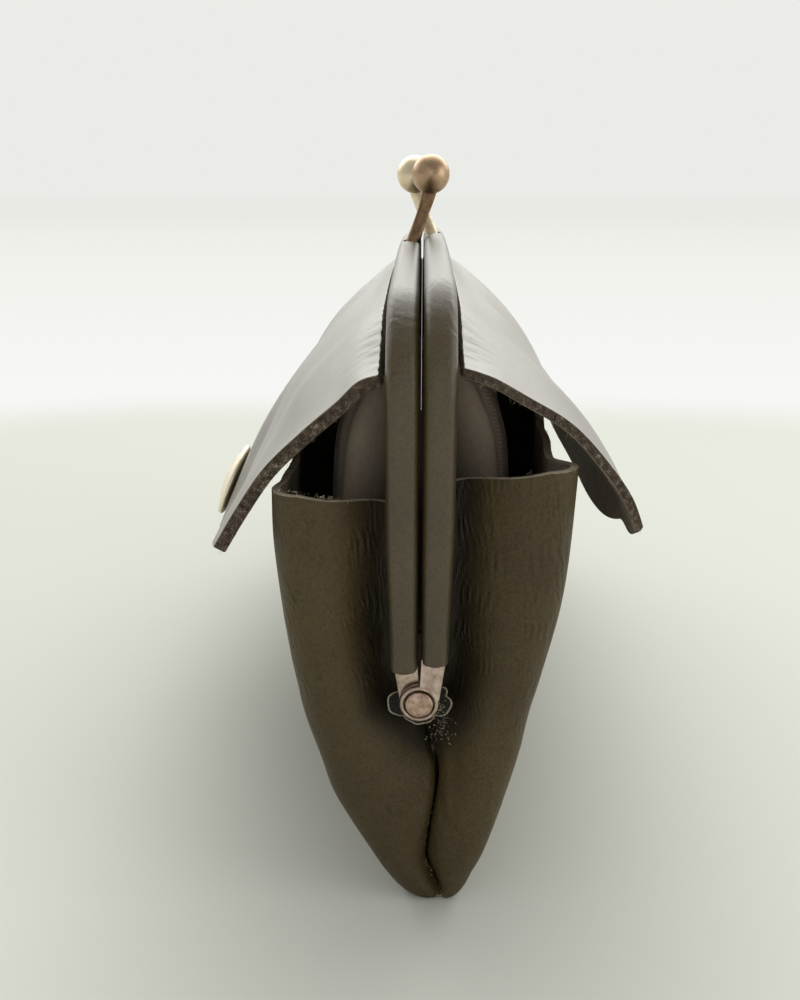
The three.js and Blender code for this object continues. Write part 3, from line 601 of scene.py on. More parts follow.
rail_steps = np.concatenate([np.linspace(CORNER_X, 10, 60, endpoint=False), np.linspace(10, 0, 30)])
for half in SIDE:
    path = frame_path(half, LEG_END_Z, 60, 44, rail_steps)
    grid = frame_tube(half, path, 0, COVER_SIDES)
    centre = (grid[:-1] + np.roll(grid, -1, axis=1)[:-1] + grid[1:] + np.roll(grid, -1, axis=1)[1:]) / 4
    along = (centre[..., 0] - stem_x(half)) / (CUTOUT_LENGTH / 2)
    across = (centre[..., 1] - SIDE[half] * (FRAME_GAP + COVER_WIDTH) / 2) / (CUTOUT_WIDTH / 2)
    cut = (along ** 2 + across ** 2 < 1) & (centre[..., 2] > rail_z(centre[..., 0], half))
    cover = sheet_piece(
        f"{half}_frame_cover", grid, COVER_WALL, [cover_leather, flesh_side, cut_edge],
        offset=-1, edge_round=0.2, wrap_columns=True, keep=~cut)
    x, z = np.abs(grid[..., 0]), grid[..., 2] - LIFT[half]
    turn = np.arctan2(z - CORNER_Z, x - CORNER_X)
    in_corner = smooth((x - CORNER_X + 5) / 8) * smooth((z - CORNER_Z + 7) / 10)
    ribs = ripple(turn * 40 + 3.4 * waves(grid[..., 1] * 2, turn * 14, 7, 3))
    ribs = ribs * (0.45 + 0.55 * waves(turn * 22, grid[..., 1] * 2, 8, 4))
    mark(cover, "ribs", in_corner * ribs)
    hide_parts(f"frame_cover_{half}")

# %% [markdown]
# Under the sleeve runs the metal rail. At the legs' ends a stamped lug goes on down to the hinge: a
# tapered plate that ends in a round eye. The outline is a radius for each direction round the rivet, and
# a small rectangular section with broken corners is carried round it, which makes plate and hole in one.

# %% Frame rails and lugs
LUG_THICK = 1.0
LUG_TOP_WIDTH = 3.9
LUG_EYE_RADIUS = 3.15
COLLAR_HOLE = 2.5  # radius of the outer lug's hole, round the rivet's head
COLLAR_RISE = 0.3
SHANK_RADIUS = 1.2
LUG_OUTER_X = LEG_X + 2 * LUG_THICK
LUG_PITCH = LUG_THICK + CLEAR
LUG_BREAK = 0.14  # broken edge left by the stamping
LUG_OVERLAP = 0.6  # of the lug's plate and the rail, inside the cover
RAIL_SIDES = 20


def lug_radius(turn, height):
    """Distance from the rivet to the plate's outline, by the angle from straight up to the plate's side."""
    sine, cosine = np.sin(turn), np.cos(turn)
    lean = (LUG_TOP_WIDTH + FRAME_GAP / 2 - LUG_EYE_RADIUS) / height
    top = height / np.maximum(cosine, 1e-6)
    flank = LUG_EYE_RADIUS / np.maximum(sine - lean * cosine, 1e-6)
    first = np.arctan2(FRAME_GAP / 2, height)
    inside = (turn >= first) & (turn <= np.pi / 2)
    return np.where(inside, np.maximum(np.minimum(top, flank), LUG_EYE_RADIUS), LUG_EYE_RADIUS)


def lug_points(half, end, outer_x):
    """Section corners for each angle: hole, face, outline, back. A collar raises the outer lug's eye."""
    height = LEG_END_Z + LIFT[half] + LUG_OVERLAP - HINGE_Z
    first = np.arctan2(FRAME_GAP / 2, height)
    turn = np.unique(np.concatenate([
        np.linspace(-np.pi, np.pi, 120, endpoint=False), np.linspace(first, np.pi / 2, 60), [first - 1e-3]]))
    outline = lug_radius(turn, height)
    outermost = half == "back"
    hole = np.full_like(turn, COLLAR_HOLE if outermost else SHANK_RADIUS + CLEAR / 2)
    rise = COLLAR_RISE if outermost else 0
    collar = np.minimum(LUG_EYE_RADIUS, outline) - 0.04
    inner_x = outer_x - LUG_THICK
    section = [
        (hole + LUG_BREAK, outer_x + rise), (collar - 0.3, outer_x + rise),
        (collar - 0.1, outer_x + rise * 0.7),
        (collar, outer_x + rise * 0.15), (np.maximum(collar + 0.02, outline - LUG_BREAK), outer_x),
        (outline + 0.03, outer_x - LUG_BREAK), (outline + 0.03, inner_x + LUG_BREAK),
        (outline - LUG_BREAK, inner_x), (hole + LUG_BREAK, inner_x), (hole, inner_x + LUG_BREAK),
        (hole, outer_x + rise - LUG_BREAK),
    ]
    across, up = SIDE[half] * np.sin(turn), np.cos(turn)
    rings = [
        np.stack([np.full_like(turn, end * x), r * across, HINGE_Z + r * up], axis=-1)
        for r, x in section]
    grid = np.stack(rings, axis=1)
    faces = grid_faces(*grid.shape[:2], wrap_rows=True, wrap_columns=True)
    return grid.reshape(-1, 3), faces[:, ::-1] if SIDE[half] * end < 0 else faces


for half in SIDE:
    path = frame_path(half, LEG_END_Z - LUG_OVERLAP, 12, 14, np.linspace(CORNER_X, 0, 12))
    grid = frame_tube(half, path, COVER_WALL + CLEAR / 2, RAIL_SIDES)
    rail = add_piece(
        f"{half}_rail", grid.reshape(-1, 3), grid_faces(*grid.shape[:2], wrap_columns=True),
        end_caps(*grid.shape[:2]), [hinge_metal])
    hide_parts(f"frame_{half}")
    for place, end in ENDS.items():
        outer_x = LUG_OUTER_X - (0 if half == "back" else LUG_PITCH)
        points, faces = lug_points(half, end, outer_x)
        lug = add_piece(f"{half}_lug_{place}", points, faces, materials=[hinge_metal])
        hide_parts(f"frame_{half}")

# %% [markdown]
# ## Kiss lock
#
# Two balls on leaning stems cross over and snap past each other. Each stem starts as a broad foot on its
# own rail, narrows to a neck and leans across the middle; its section is a rounded rectangle that shrinks
# on the way up. A ball is a turned shape: a half circle spun about its upright axis.

# %% Stems and balls
STEM_STEPS = 24
STEM_SIDES = 28
STEM_ROUNDING = 3.4  # power of its section
STEM_SINK = 2.5  # its top lies this far under the ball's middle
STEM_TABLE = {
    "at": [0, 0.2, 0.42, 0.62, 0.8, 1],
    "length": [5.6, 4.6, 2.6, 1.7, 1.5, 2.2],  # along the rail
    "thick": [3.4, 3.2, 2.9, 2.8, 3.0, 3.4],  # across the purse
}

for half in SIDE:
    share = np.linspace(0, 1, STEM_STEPS)[:, None]
    x = stem_x(half)
    foot_y = SIDE[half] * (FRAME_GAP + COVER_WIDTH) / 2
    ball_y = -SIDE[half] * BALL_CROSS
    along, across = squarish(np.linspace(0, 2 * np.pi, STEM_SIDES, endpoint=False), STEM_ROUNDING)
    lean = mix(foot_y, ball_y, mix(share, smooth(share), 0.4))
    grid = np.stack([
        x + curve(STEM_TABLE, "length", share) * along / 2,
        lean + curve(STEM_TABLE, "thick", share) * across / 2,
        np.broadcast_to(mix(rail_z(x, half), BALL_Z - STEM_SINK, share), (STEM_STEPS, STEM_SIDES)),
    ], axis=-1)
    faces = grid_faces(STEM_STEPS, STEM_SIDES, wrap_columns=True)[:, ::-1]
    # Painted shade and light: the front stem takes a darker copy of the lock's metal and the back stem a
    # paler one.
    stem = add_piece(
        f"{half}_lock_stem", grid.reshape(-1, 3), faces, end_caps(STEM_STEPS, STEM_SIDES),
        [shaded_stem_metal if half == "front" else lit_lock_metal])
    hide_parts(f"frame_{half}")
    height = np.linspace(-np.pi / 2, np.pi / 2, 33)
    profile = np.column_stack([np.abs(np.cos(height)), np.sin(height)]) * BALL_DIAMETER / 2
    # Painted shade and light: the front ball takes a darker copy of the lock's metal and the back ball a
    # paler one.
    turned_piece(
        f"{half}_lock_ball", profile, 56, [x, ball_y, BALL_Z], [0, 0, 1],
        lock_metal if half == "front" else lit_lock_metal, f"frame_{half}")

# %% [markdown]
# ## Hinge rivets and pads
#
# A rivet holds the two lugs together. Its head is a low dome with a rolled rim that sits in the eye of
# the outer lug. Behind the lugs is a lobed pad of glue and felt that closes the corner of the bag.

# %% Rivets
RIVET_TAIL_X = LUG_OUTER_X - LUG_THICK - LUG_PITCH - CLEAR
DOME_RADIUS = 2.28
DOME_HEIGHT = 0.5
RIVET_SAG = 0.18  # the head has settled low in the wide hole
TAIL_RADIUS = 2.0
TAIL_THICK = 0.7
TAIL_END_X = RIVET_TAIL_X - TAIL_THICK
HEAD_X = LUG_OUTER_X - LUG_THICK + 0.2  # where the head starts, in the outer lug's eye
HEAD_RIM = 0.75  # straight part of the head under its dome

arch = np.linspace(0, np.pi / 2, 14)
dome = np.column_stack([DOME_RADIUS * np.cos(arch) ** 0.45, HEAD_X + HEAD_RIM + DOME_HEIGHT * np.sin(arch)])
profile = [
    (0, TAIL_END_X), (TAIL_RADIUS - 0.1, TAIL_END_X), (TAIL_RADIUS, TAIL_END_X + 0.1),
    (TAIL_RADIUS, RIVET_TAIL_X), (SHANK_RADIUS, RIVET_TAIL_X), (SHANK_RADIUS, HEAD_X),
    (DOME_RADIUS - 0.06, HEAD_X), (DOME_RADIUS, HEAD_X + 0.06),
    *dome[:-1].tolist(), (0, HEAD_X + HEAD_RIM + DOME_HEIGHT),
]
for place, end in ENDS.items():
    turned_piece(
        f"hinge_rivet_head_{place}", profile, 64, [0, 0, HINGE_Z - RIVET_SAG], [end, 0, 0],
        rivet_metal, f"hinge_rivet_{place}")

# %% [markdown]
# The pad is a blob of set glue on a scrap of fibre: three round lobes run together, dark and half glossy,
# with a thin pale skin where it dried at the rim. Its outline is the farthest of three circles seen from
# the middle, and the share of the way out to that outline lifts the rim and colours it.

# %% Hinge pads
PAD_FACE_X = TAIL_END_X - CLEAR
PAD_THICK = 1.2
# y, z, radius from the rivet
PAD_LOBES = [(-2.9, -2.1, 2.4), (0.1, -3.0, 3.0), (3.3, -2.3, 2.1), (3.7, 0.0, 1.0)]
PAD_MIDDLE_Z = -2.0
PAD_SIDES = 160
PAD_RINGS = 20
PAD_FACE_RINGS = 12  # of these, inside the rim


def pad_material():
    """Dark set glue: the rim attribute turns it to a pale dried skin, and noise clouds both."""
    material, tree, shader, place = new_material("set_glue")
    rim = add_node(tree, "ShaderNodeAttribute", attribute_name="rim").outputs["Fac"]
    cloud = add_node(tree, "ShaderNodeTexNoise", {"Vector": place, "Scale": 1500.0, "Detail": 4.0})
    level = add_node(tree, "ShaderNodeMath", {0: cloud, 1: 0.22, 2: rim}, operation="MULTIPLY_ADD")
    colour = ramp(tree, level, [(0.0, "#17130f"), (0.75, "#2b251d"), (0.97, "#8d8371"), (1.0, "#a79c88")])
    bump = add_node(tree, "ShaderNodeBump", {"Height": cloud, "Distance": 0.6 * MM})
    plug(shader, {"Base Color": colour, "Normal": bump, "Roughness": 0.5, "Specular IOR Level": 0.25})
    return material


set_glue = pad_material()
turn = np.linspace(0, 2 * np.pi, PAD_SIDES, endpoint=False)
reach = np.zeros_like(turn)
for y, z, radius in PAD_LOBES:
    along_ray = y * np.cos(turn) + (z - PAD_MIDDLE_Z) * np.sin(turn)
    off_ray = (z - PAD_MIDDLE_Z) * np.cos(turn) - y * np.sin(turn)
    hit = along_ray + np.sqrt(np.maximum(radius ** 2 - off_ray ** 2, 0))
    reach = np.maximum(reach, np.where(np.abs(off_ray) < radius, hit, 0))
reach = reach * (1 + 0.02 * np.sin(turn * 11 + 1))
inner = np.linspace(0.05, 0.9, PAD_FACE_RINGS)
share = np.concatenate([inner, [0.93, 0.96, 0.985, 1.0, 1.0, 0.9, 0.4, 0.05]])[:, None]
lift = np.array([-0.25] * PAD_FACE_RINGS + [-0.2, -0.06, 0, -0.08, -0.5, -0.9, -1, -1])
lift = lift[:, None] * PAD_THICK * 0.9
for place, end in ENDS.items():
    out = end * (PAD_FACE_X + lift)
    grid = np.stack([
        np.broadcast_to(out, (PAD_RINGS, PAD_SIDES)), share * reach * np.cos(turn),
        HINGE_Z + PAD_MIDDLE_Z + share * reach * np.sin(turn)], axis=-1)
    poles = [[out[ring, 0], 0.0, HINGE_Z + PAD_MIDDLE_Z] for ring in (0, -1)]
    faces = grid_faces(PAD_RINGS, PAD_SIDES, wrap_columns=True)
    fans = pole_fans(PAD_RINGS, PAD_SIDES)[:, [0, 2, 1]]
    if end < 0:
        faces, fans = faces[:, ::-1], fans[:, ::-1]
    pad = add_piece(
        f"hinge_glue_{place}", np.vstack([grid.reshape(-1, 3), poles]), faces, fans, [set_glue])
    rim = np.broadcast_to(smooth((share - 0.9) / 0.06) * (lift > -0.3), (PAD_RINGS, PAD_SIDES)).ravel()
    mark(pad, "rim", np.concatenate([rim, [0, 0]]))
    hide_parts(f"hinge_pad_{place}")

# %% [markdown]
# ## Outer walls
#
# One panel of leather makes each wall: it runs along the side, round the corner of the end, and folds in
# beside the frame's leg. Rows of the table are heights; the columns are half widths and fold depths as
# shares of named sizes. Reading the table smoothly gives a soft lobe at each end, and slow waves of half
# a millimetre take away the evenness that leather never has.

# %% Wall shape
WALL = 1.2
SEAM_GAP = 0.5
END_X = LEG_X + 2.5
END_HALF_WIDTH = 23
MID_HALF_WIDTH = 30
WALL_HEIGHT = 75
CORNER_FOLD = 4
CORNER_LIMIT = 0.7
RECESS_DEPTH = 8.6
RECESS_POWER = 1.6
TUCK_UNDER_LEG = 2.8
SEAM_SHIFT = 2.3
SEAM_MID_SHIFT = 1.2
SEAM_TOP_Z = 22
LEG_FOLD_Z = 30
MOUTH = {
    "front": {"leg": 69.8, "corner": 73.3, "middle": 71.5, "pinch": 1},
    "back": {"leg": 73.3, "corner": 77.2, "middle": 75, "pinch": 3.2},
}
WALL_TABLE = {
    "at": [0, 0.02, 0.05, 0.105, 0.21, 0.315, 0.415, 0.515, 0.61, 0.71, 0.8, 0.9, 1],
    "front": [0.178, 0.253, 0.328, 0.439, 0.625, 0.772, 0.819, 0.842, 0.894, 0.947, 0.972, 0.985, 0.987],
    "back": [0.175, 0.238, 0.3, 0.384, 0.493, 0.599, 0.728, 0.828, 0.888, 0.949, 0.987, 1.012, 1.029],
    "mid": [0.37, 0.42, 0.49, 0.59, 0.76, 0.9, 0.97, 1, 1, 0.98, 0.95, 0.91, 0.87],
    "fold": [0.06, 0.1, 0.14, 0.18, 0.22, 0.4, 0.85, 1, 0.9, 0.8, 0.76, 0.75, 0.75],
    "setback": [0.35, 0.15, 0.05, 0, 0, 0, 0, 0, 0, 0, 0, 0, 0],
}
SEAM_TABLE = {  # how far the raw seam at the ends wanders to the back, by height
    "at": [0, 1, 4.3, 8, 11, 17, 24, 30, 38],
    "drift": [1.5, 1.4, 0.4, -0.8, -0.6, 0.1, 0.8, 0.4, 0],
}
SEAM_ROLL = 1.9  # radius over which each wall rolls in to the seam
SEAM_SHOULDER = 0.5
WALL_ROWS = 74
WALL_END_STEPS = 44  # from the seam or the leg to the corner
WALL_CORNER_STEPS = 14
WALL_SIDE_STEPS = 60
TURNED_ROWS = 4  # at the bottom, in to the seam


def seam_y(x, z):
    """Where the two walls meet: behind the middle at the ends, and back under the hinge above that."""
    shift = mix(SEAM_MID_SHIFT, SEAM_SHIFT, smooth(np.abs(x) / END_X))
    return shift * (1 - smooth((z - SEAM_TOP_Z) / (HINGE_Z - SEAM_TOP_Z)))


def wall_half(half, share):
    """Grid of a wall's +X half: rows by height share, columns from the seam round the end to mid length."""
    mouth = MOUTH[half]
    share = share[:, None]
    end_z = mix(WALL / 2, mouth["corner"], share)
    row = {name: curve(WALL_TABLE, name, end_z / WALL_HEIGHT) for name in (half, "mid", "fold", "setback")}
    above = smooth((end_z - LEG_FOLD_Z) / (LEG_END_Z - LEG_FOLD_Z))
    drift = SIDE[half] * curve(SEAM_TABLE, "drift", end_z)
    seam = SEAM_GAP / 2 + SEAM_SHOULDER * smooth(share / 0.03) + drift
    edge = mix(seam, COVER_OUTER_Y - TUCK_UNDER_LEG, above)
    hidden = mix(seam, COVER_OUTER_Y + CLEAR, above)
    half_width = END_HALF_WIDTH * row[half] - WALL / 2
    radius = np.minimum(CORNER_FOLD, (half_width - edge) * CORNER_LIMIT)
    face_x = END_X - WALL / 2 - CORNER_FOLD * row["setback"]
    depth = RECESS_DEPTH * row["fold"]
    lobe = half_width - radius
    across = np.linspace(0, 1, WALL_END_STEPS, endpoint=False)[None] ** 1.4
    offset = mix(edge, lobe, across)
    free = np.maximum((offset - hidden) / (lobe - hidden), 0)
    left_over = np.clip(1 - (offset - edge) / SEAM_ROLL, 0, 1)
    roll = SEAM_ROLL * (1 - np.sqrt(1 - left_over ** 2)) * (1 - above) * smooth(share / 0.02)
    end_x = face_x - depth * (1 - smooth(free)) ** RECESS_POWER - roll
    end_part = (end_x, offset, mix(mouth["leg"], mouth["corner"], across))
    angle = np.linspace(0, np.pi / 2, WALL_CORNER_STEPS)[None]
    corner_part = (face_x - radius * (1 - np.cos(angle)), lobe + radius * np.sin(angle), mouth["corner"])
    along = np.linspace(0, 1, WALL_SIDE_STEPS + 1)[None, 1:] ** 1.2
    corner_x = face_x - radius
    x = corner_x * (1 - along)
    swell = (1 - np.cos(np.pi * along)) / 2
    pinch = mouth["pinch"] * smooth((end_z - SEAM_TOP_Z) / (WALL_HEIGHT - SEAM_TOP_Z))
    pinched = half_width - pinch * smooth((corner_x - x) / CORNER_FOLD)
    side_width = mix(pinched, MID_HALF_WIDTH * row["mid"] - WALL / 2, swell)
    side_part = (x, side_width, mix(mouth["corner"], mouth["middle"], swell))
    parts = []
    for x, offset, mouth_z in (end_part, corner_part, side_part):
        x, offset, mouth_z, height = np.broadcast_arrays(x, offset, mouth_z, share)
        z = mix(WALL / 2, mouth_z, height)
        parts.append(np.stack([x, seam_y(x, z) + SIDE[half] * offset, z], axis=-1))
    return np.concatenate(parts, axis=1)


def wall_grid(half):
    """Both halves in one grid, with a few rows at the bottom that turn in flat to the seam."""
    right = wall_half(half, np.concatenate([[0, 0.004, 0.009], np.linspace(0.015, 1, WALL_ROWS)]))
    left = right[:, -2::-1] * [-1, 1, 1]
    grid = np.concatenate([right, left], axis=1)
    inward = np.linspace(0, 1, TURNED_ROWS + 1)[:-1, None]
    drift = curve(SEAM_TABLE, "drift", 0.0) * smooth((np.abs(grid[0, :, 0]) - 66) / 18)
    edge_y = seam_y(grid[0, :, 0], 0) + SIDE[half] * SEAM_GAP / 2 + drift
    turned = np.repeat(grid[:1], TURNED_ROWS, axis=0)
    turned[..., 1] = mix(edge_y, grid[0, :, 1], inward)
    grid = np.concatenate([turned, grid])
    return grid if half == "front" else grid[:, ::-1]


def push(grid, amount):
    """Moves each point along the grid's own normal."""
    normal = np.cross(np.gradient(grid, axis=0), np.gradient(grid, axis=1))
    normal /= np.maximum(np.linalg.norm(normal, axis=-1, keepdims=True), 1e-9)
    return grid + normal * amount[..., None]


# %% [markdown]
# Bent leather wrinkles across the bend. Beside the legs and at the outer corners fine creases run up and
# down, and under the hinge they run aslant towards the seam. Each set is a sine over the distance round
# the wall, shaken by slow waves, and a mask says where it shows.

# %% Wall pieces
walls = {}
for half in SIDE:
    grid = wall_grid(half)
    x, y, z = np.moveaxis(grid, -1, 0)
    seed = 11 if half == "front" else 12
    height = smooth((z - 4) / 20)
    slack = 0.3 * waves(x, z, 34, seed) * height
    flutter = 0.45 * waves(x, z * 0.3, 17, seed + 10) * smooth((z - 45) / 25) * smooth((86 - np.abs(x)) / 14)
    grid = push(grid, slack + flutter)
    wall = sheet_piece(
        f"{half}_wall", grid, WALL, [body_leather, flesh_side, pocket_edge], edge_round=0.2)
    run = np.cumsum(np.linalg.norm(np.diff(grid, axis=1, prepend=grid[:, :1]), axis=-1), axis=1)
    upright = ripple(2 * np.pi * run / 1.25 + 4.5 * waves(run * 0.9, z * 0.55, 5, seed + 20))
    upright = upright * np.clip(0.35 + 0.65 * waves(run * 1.1, z * 0.8, 5, seed + 21), 0, 1)
    aslant = ripple(2 * np.pi * (z - 0.45 * np.abs(y)) / 1.05 + 2.4 * waves(y * 1.3, z, 6, seed + 22))
    aslant = aslant * (0.5 + 0.5 * waves(y * 2, z, 8, seed + 23))
    away = np.abs(y - seam_y(x, z))
    on_end = smooth((np.abs(x) - 72) / 8)
    by_leg = on_end * smooth((z - 30) / 14) * (1 - smooth((away - 9) / 7))
    by_corner = smooth((np.abs(x) - 68) / 8) * smooth((z - 22) / 14) * smooth((away - 13) / 5)
    by_seam = on_end * (1 - smooth((z - 24) / 8)) * smooth((z - 6) / 6) * (1 - smooth((away - 7) / 6))
    mark(wall, "ribs", (0.6 * by_leg + by_corner) * upright + 0.7 * by_seam * aslant)
    # Painted shade: the fold attribute marks the recess beside the leg and under the hinge, where the
    # leather's colour is darkened to stand for its shade.
    fold_reach = mix(1.5, 9.5, smooth((z - 23) / 14))
    mark(wall, "fold", 0.85 * on_end * smooth((z - 22) / 6) * (1 - smooth((away - fold_reach) / 5 + 0.5)))
    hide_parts(f"outer_wall_{half}")
    walls[half] = (wall, grid)

# %% [markdown]
# ## Inner bag
#
# The bag hangs between the frame halves, closed to a slit at the legs and boat-shaped below. Its
# sections are upright U shapes whose widths come from a table, and soft gathers run down from the rail.

# %% Inner bag
BAG_WALL = 1.0
BAG_HALF_LENGTH = LEG_X - COVER_DEPTH / 2 - 3.4
BAG_HALF_WIDTH = 15.5
BAG_SLIT_HALF_WIDTH = 3
BAG_END_RISE = 45
BAG_END_POWER = 8
BAG_PINCH_X = 70  # from here on its ends are pressed shut
BAG_TABLE = {
    "at": [0, 0.04, 0.13, 0.27, 0.43, 0.6, 0.75, 0.86, 0.93, 1],
    "width": [0.22, 0.4, 0.64, 0.87, 1, 1, 0.93, 0.7, 0.4, 0.19],
}


def bag_top_z(x):
    """Just under the covered rail, following its corners."""
    inner = CORNER_RADIUS - COVER_DEPTH / 2 - CLEAR
    past = np.maximum(np.abs(x) - CORNER_X, 0)
    return CORNER_Z + np.sqrt(np.maximum(inner ** 2 - past ** 2, 0)) + rail_z(x, "front") - RAIL_Z


share = np.sin(np.linspace(np.pi / 2, -np.pi / 2, 181))[:, None]
x = BAG_HALF_LENGTH * share
width = mix(BAG_SLIT_HALF_WIDTH, BAG_HALF_WIDTH, np.sqrt(1 - share ** BAG_END_POWER))
bottom = WALL + CLEAR + BAG_WALL / 2 + BAG_END_RISE * share ** BAG_END_POWER
level = np.linspace(0, 1, 70)[None]
half_width = np.maximum(width * curve(BAG_TABLE, "width", level), BAG_SLIT_HALF_WIDTH)
pinched = smooth((np.abs(x) - BAG_PINCH_X) / (BAG_HALF_LENGTH - BAG_PINCH_X - 1))
half_width = mix(half_width, BAG_WALL / 2 + 0.03, pinched)
height = mix(bottom, bag_top_z(x), level)
floor_share = np.linspace(-1, 1, 9)[None, 1:-1]
y = np.concatenate([-half_width[:, ::-1], half_width[:, :1] * floor_share, half_width], axis=1)
z = np.concatenate([height[:, ::-1], height[:, :1] + 0 * floor_share, height], axis=1)
grid = np.stack([np.broadcast_to(x, y.shape), y, z], axis=-1)
gather = 0.55 * waves(grid[..., 0], grid[..., 2] * 0.15, 11, 31) * smooth((np.abs(y) - 3.5) / 6)
grid = push(grid, gather)
run = np.cumsum(np.linalg.norm(np.diff(grid, axis=1, prepend=grid[:, :1]), axis=-1), axis=1)
uv = np.stack([grid[..., 0], run - run[:, [grid.shape[1] // 2]]], axis=-1)
bag = sheet_piece("inner_bag_cloth", grid, BAG_WALL, [bag_cloth] * 3, uv=uv)
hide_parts("inner_bag")

# %% [markdown]
# ## Flaps
#
# The flaps leave the frame just under its covered rail, rise a little over their root and bend down over
# the pockets. Their section changes from the middle of the purse to its ends, so the table has one pair
# of columns for each. The root is puckered where the leather goes under the frame.

# %% Flap shape
FLAP_WALL = {"front": 2.1, "back": 1.5}  # the front flap is doubled behind its snap
FLAP_CORNER_CUT = 3
FLAP_CUT_POWER = 4
FLAP_END_POWER = {"front": 1.2, "back": 2}
FLAP_ROOT_BEND = 0.7
FLAP_ROOT_DROP = 4.2
FLAP_END_ROOT_Z = 90.2
FLAP_ROOT_TILT = 0.35
FLAP = {
    "front": {"end_reach": 25.6, "far_share": 1.0, "end_drop": 27.4, "mid_reach": 42.5, "mid_drop": 61.5},
    "back": {"end_reach": 27.9, "far_share": 0.9, "end_drop": 24.8, "mid_reach": 33.4, "mid_drop": 50.6},
}
FLAP_TABLE = {
    "front": {
        "at": [0, 0.12, 0.25, 0.45, 0.65, 0.83, 1],
        "end_reach": [0, 0.1, 0.22, 0.44, 0.66, 0.845, 1],
        "end_drop": [0, 0.03, 0.134, 0.31, 0.51, 0.76, 1],
        "mid_reach": [0, 0.085, 0.245, 0.5, 0.71, 0.87, 1],
        "mid_drop": [0, 0.06, 0.15, 0.345, 0.56, 0.79, 1],
    },
    "back": {
        "at": [0, 0.12, 0.25, 0.45, 0.65, 0.83, 1],
        "end_reach": [0, 0.15, 0.33, 0.56, 0.77, 0.92, 1],
        "end_drop": [0, 0.055, 0.165, 0.32, 0.565, 0.8, 1],
        "mid_reach": [0, 0.1, 0.29, 0.57, 0.81, 0.95, 1],
        "mid_drop": [0, 0.07, 0.18, 0.39, 0.61, 0.81, 1],
    },
}


def flap_grid(half, along, t):
    """Points for places along the flap (-1 to 1) and down it (0 at the root, 1 at the free edge)."""
    sizes = FLAP[half]
    columns = ("end_reach", "end_drop", "mid_reach", "mid_drop")
    share = {name: curve(FLAP_TABLE[half], name, t) for name in columns}
    x = along * (LEG_X - FLAP_CORNER_CUT * t ** FLAP_CUT_POWER)
    end = np.abs(along) ** FLAP_END_POWER[half]
    end_reach = sizes["end_reach"] * np.where(along < 0, sizes["far_share"], 1)
    reach = mix(sizes["mid_reach"] * share["mid_reach"], end_reach * share["end_reach"], end)
    drop = mix(sizes["mid_drop"] * share["mid_drop"], sizes["end_drop"] * share["end_drop"], end)
    to_end = smooth((np.abs(along) - FLAP_ROOT_BEND) / (1 - FLAP_ROOT_BEND))
    root_z = mix(rail_z(x, half) - FLAP_ROOT_DROP, FLAP_END_ROOT_Z + LIFT[half], to_end)
    root_y = COVER_OUTER_Y + CLEAR + FLAP_ROOT_TILT
    return np.stack([x, SIDE[half] * (root_y + reach), root_z - drop], axis=-1)


# %% Flap pieces
SNAP_SHARE = 0.855  # of the way down the front flap
FLAP_RUN = 60  # mm from root to free edge, for the patterns' sake
flaps = {}
for half in SIDE:
    along = (SIDE[half] * np.linspace(-1, 1, 241))[:, None]
    t = np.linspace(0, 1, 71)[None]
    along, t = np.broadcast_arrays(along, t)
    length = along * LEG_X
    from_middle = np.abs(length)
    down = t * FLAP_RUN
    seed = 41 if half == "front" else 42
    by_root = (1 - smooth(t / 0.2)) * smooth(t / 0.02)
    pucker = 0.07 * np.sin(length * 2 * np.pi / 3.4 + 4 * waves(length, down, 15, seed)) * by_root
    still = smooth((np.hypot(length, down - FLAP_RUN * SNAP_SHARE) - 10) / 12) if half == "front" else 1
    sway = 0.4 * waves(length, down, 42, seed + 2) * smooth(t / 0.3) * still * smooth((90 - from_middle) / 18)
    beside_snap = smooth((from_middle - 9) / 12) * (1 - smooth((from_middle - 62) / 20))
    beside_snap = beside_snap * smooth((t - 0.4) / 0.3)
    pressed = -2.2 * beside_snap if half == "front" else 0
    grid = push(flap_grid(half, along, t), pucker + sway + pressed)
    flap = sheet_piece(
        f"{half}_flap", grid, FLAP_WALL[half], [flap_leather, flesh_side, cut_edge],
        edge_round=0.3)
    ribs = ripple(length * 2 * np.pi / 1.1 + 3 * waves(length * 1.3, down * 0.5, 6, seed + 4))
    ribs = ribs * (0.5 + 0.5 * waves(length * 2, down, 9, seed + 5))
    mark(flap, "ribs", ribs * (1 - smooth(t / 0.35)) * (0.35 + 0.65 * smooth((from_middle - 55) / 25)))
    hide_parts(f"flap_{half}")
    flaps[half] = (flap, grid)

# %% [markdown]
# ## Snap
#
# A magnetic snap closes the front flap on its pocket. Outside it shows a low domed cap with a rolled rim,
# inside a flat cup that holds the magnet, and on the pocket wall sits the plate that it closes on. All
# three are turned shapes: a profile of radius and height, spun about the direction square to the leather.

# %% Snap pieces
SNAP_FACE = FLAP_WALL["front"] / 2 + 0.5  # from the flap's middle, with room for its curve
SNAP_SIDES = 72
STUD_Z = 47.5
STUD_SIDES = 64

snap_along = np.array([[-0.01, 0.0, 0.01]]).T
snap_down = SNAP_SHARE + np.array([[-0.06, 0.0, 0.06]])
near = flap_grid("front", *np.broadcast_arrays(snap_along, snap_down))
snap_middle = near[1, 1]
snap_slope = near[1, 2] - near[1, 0]
snap_out = np.cross([-1, 0, 0], snap_slope / np.linalg.norm(snap_slope))
arch = np.linspace(0.12, 1, 16)[::-1]
cap_profile = [
    (0, -0.2), (8.1, -0.2), (8.6, 0), (8.9, 0.25), (9.0, 0.6), (8.9, 0.95), (8.6, 1.15), (8.3, 1.12),
    *zip((8.1 * arch).tolist(), (1.15 + 1.6 * (1 - arch ** 2.2)).tolist()), (0, 2.75)]
cup_profile = [
    (0, -2.8), (3.2, -2.8), (3.4, -2.5), (5.6, -2.5), (7.4, -2.4), (7.8, -2.0), (8.0, -1.4), (8.0, -0.2),
    (7.9, 0), (1.6, 0), (1.6, 2 * SNAP_FACE - 0.2), (0, 2 * SNAP_FACE - 0.2)]
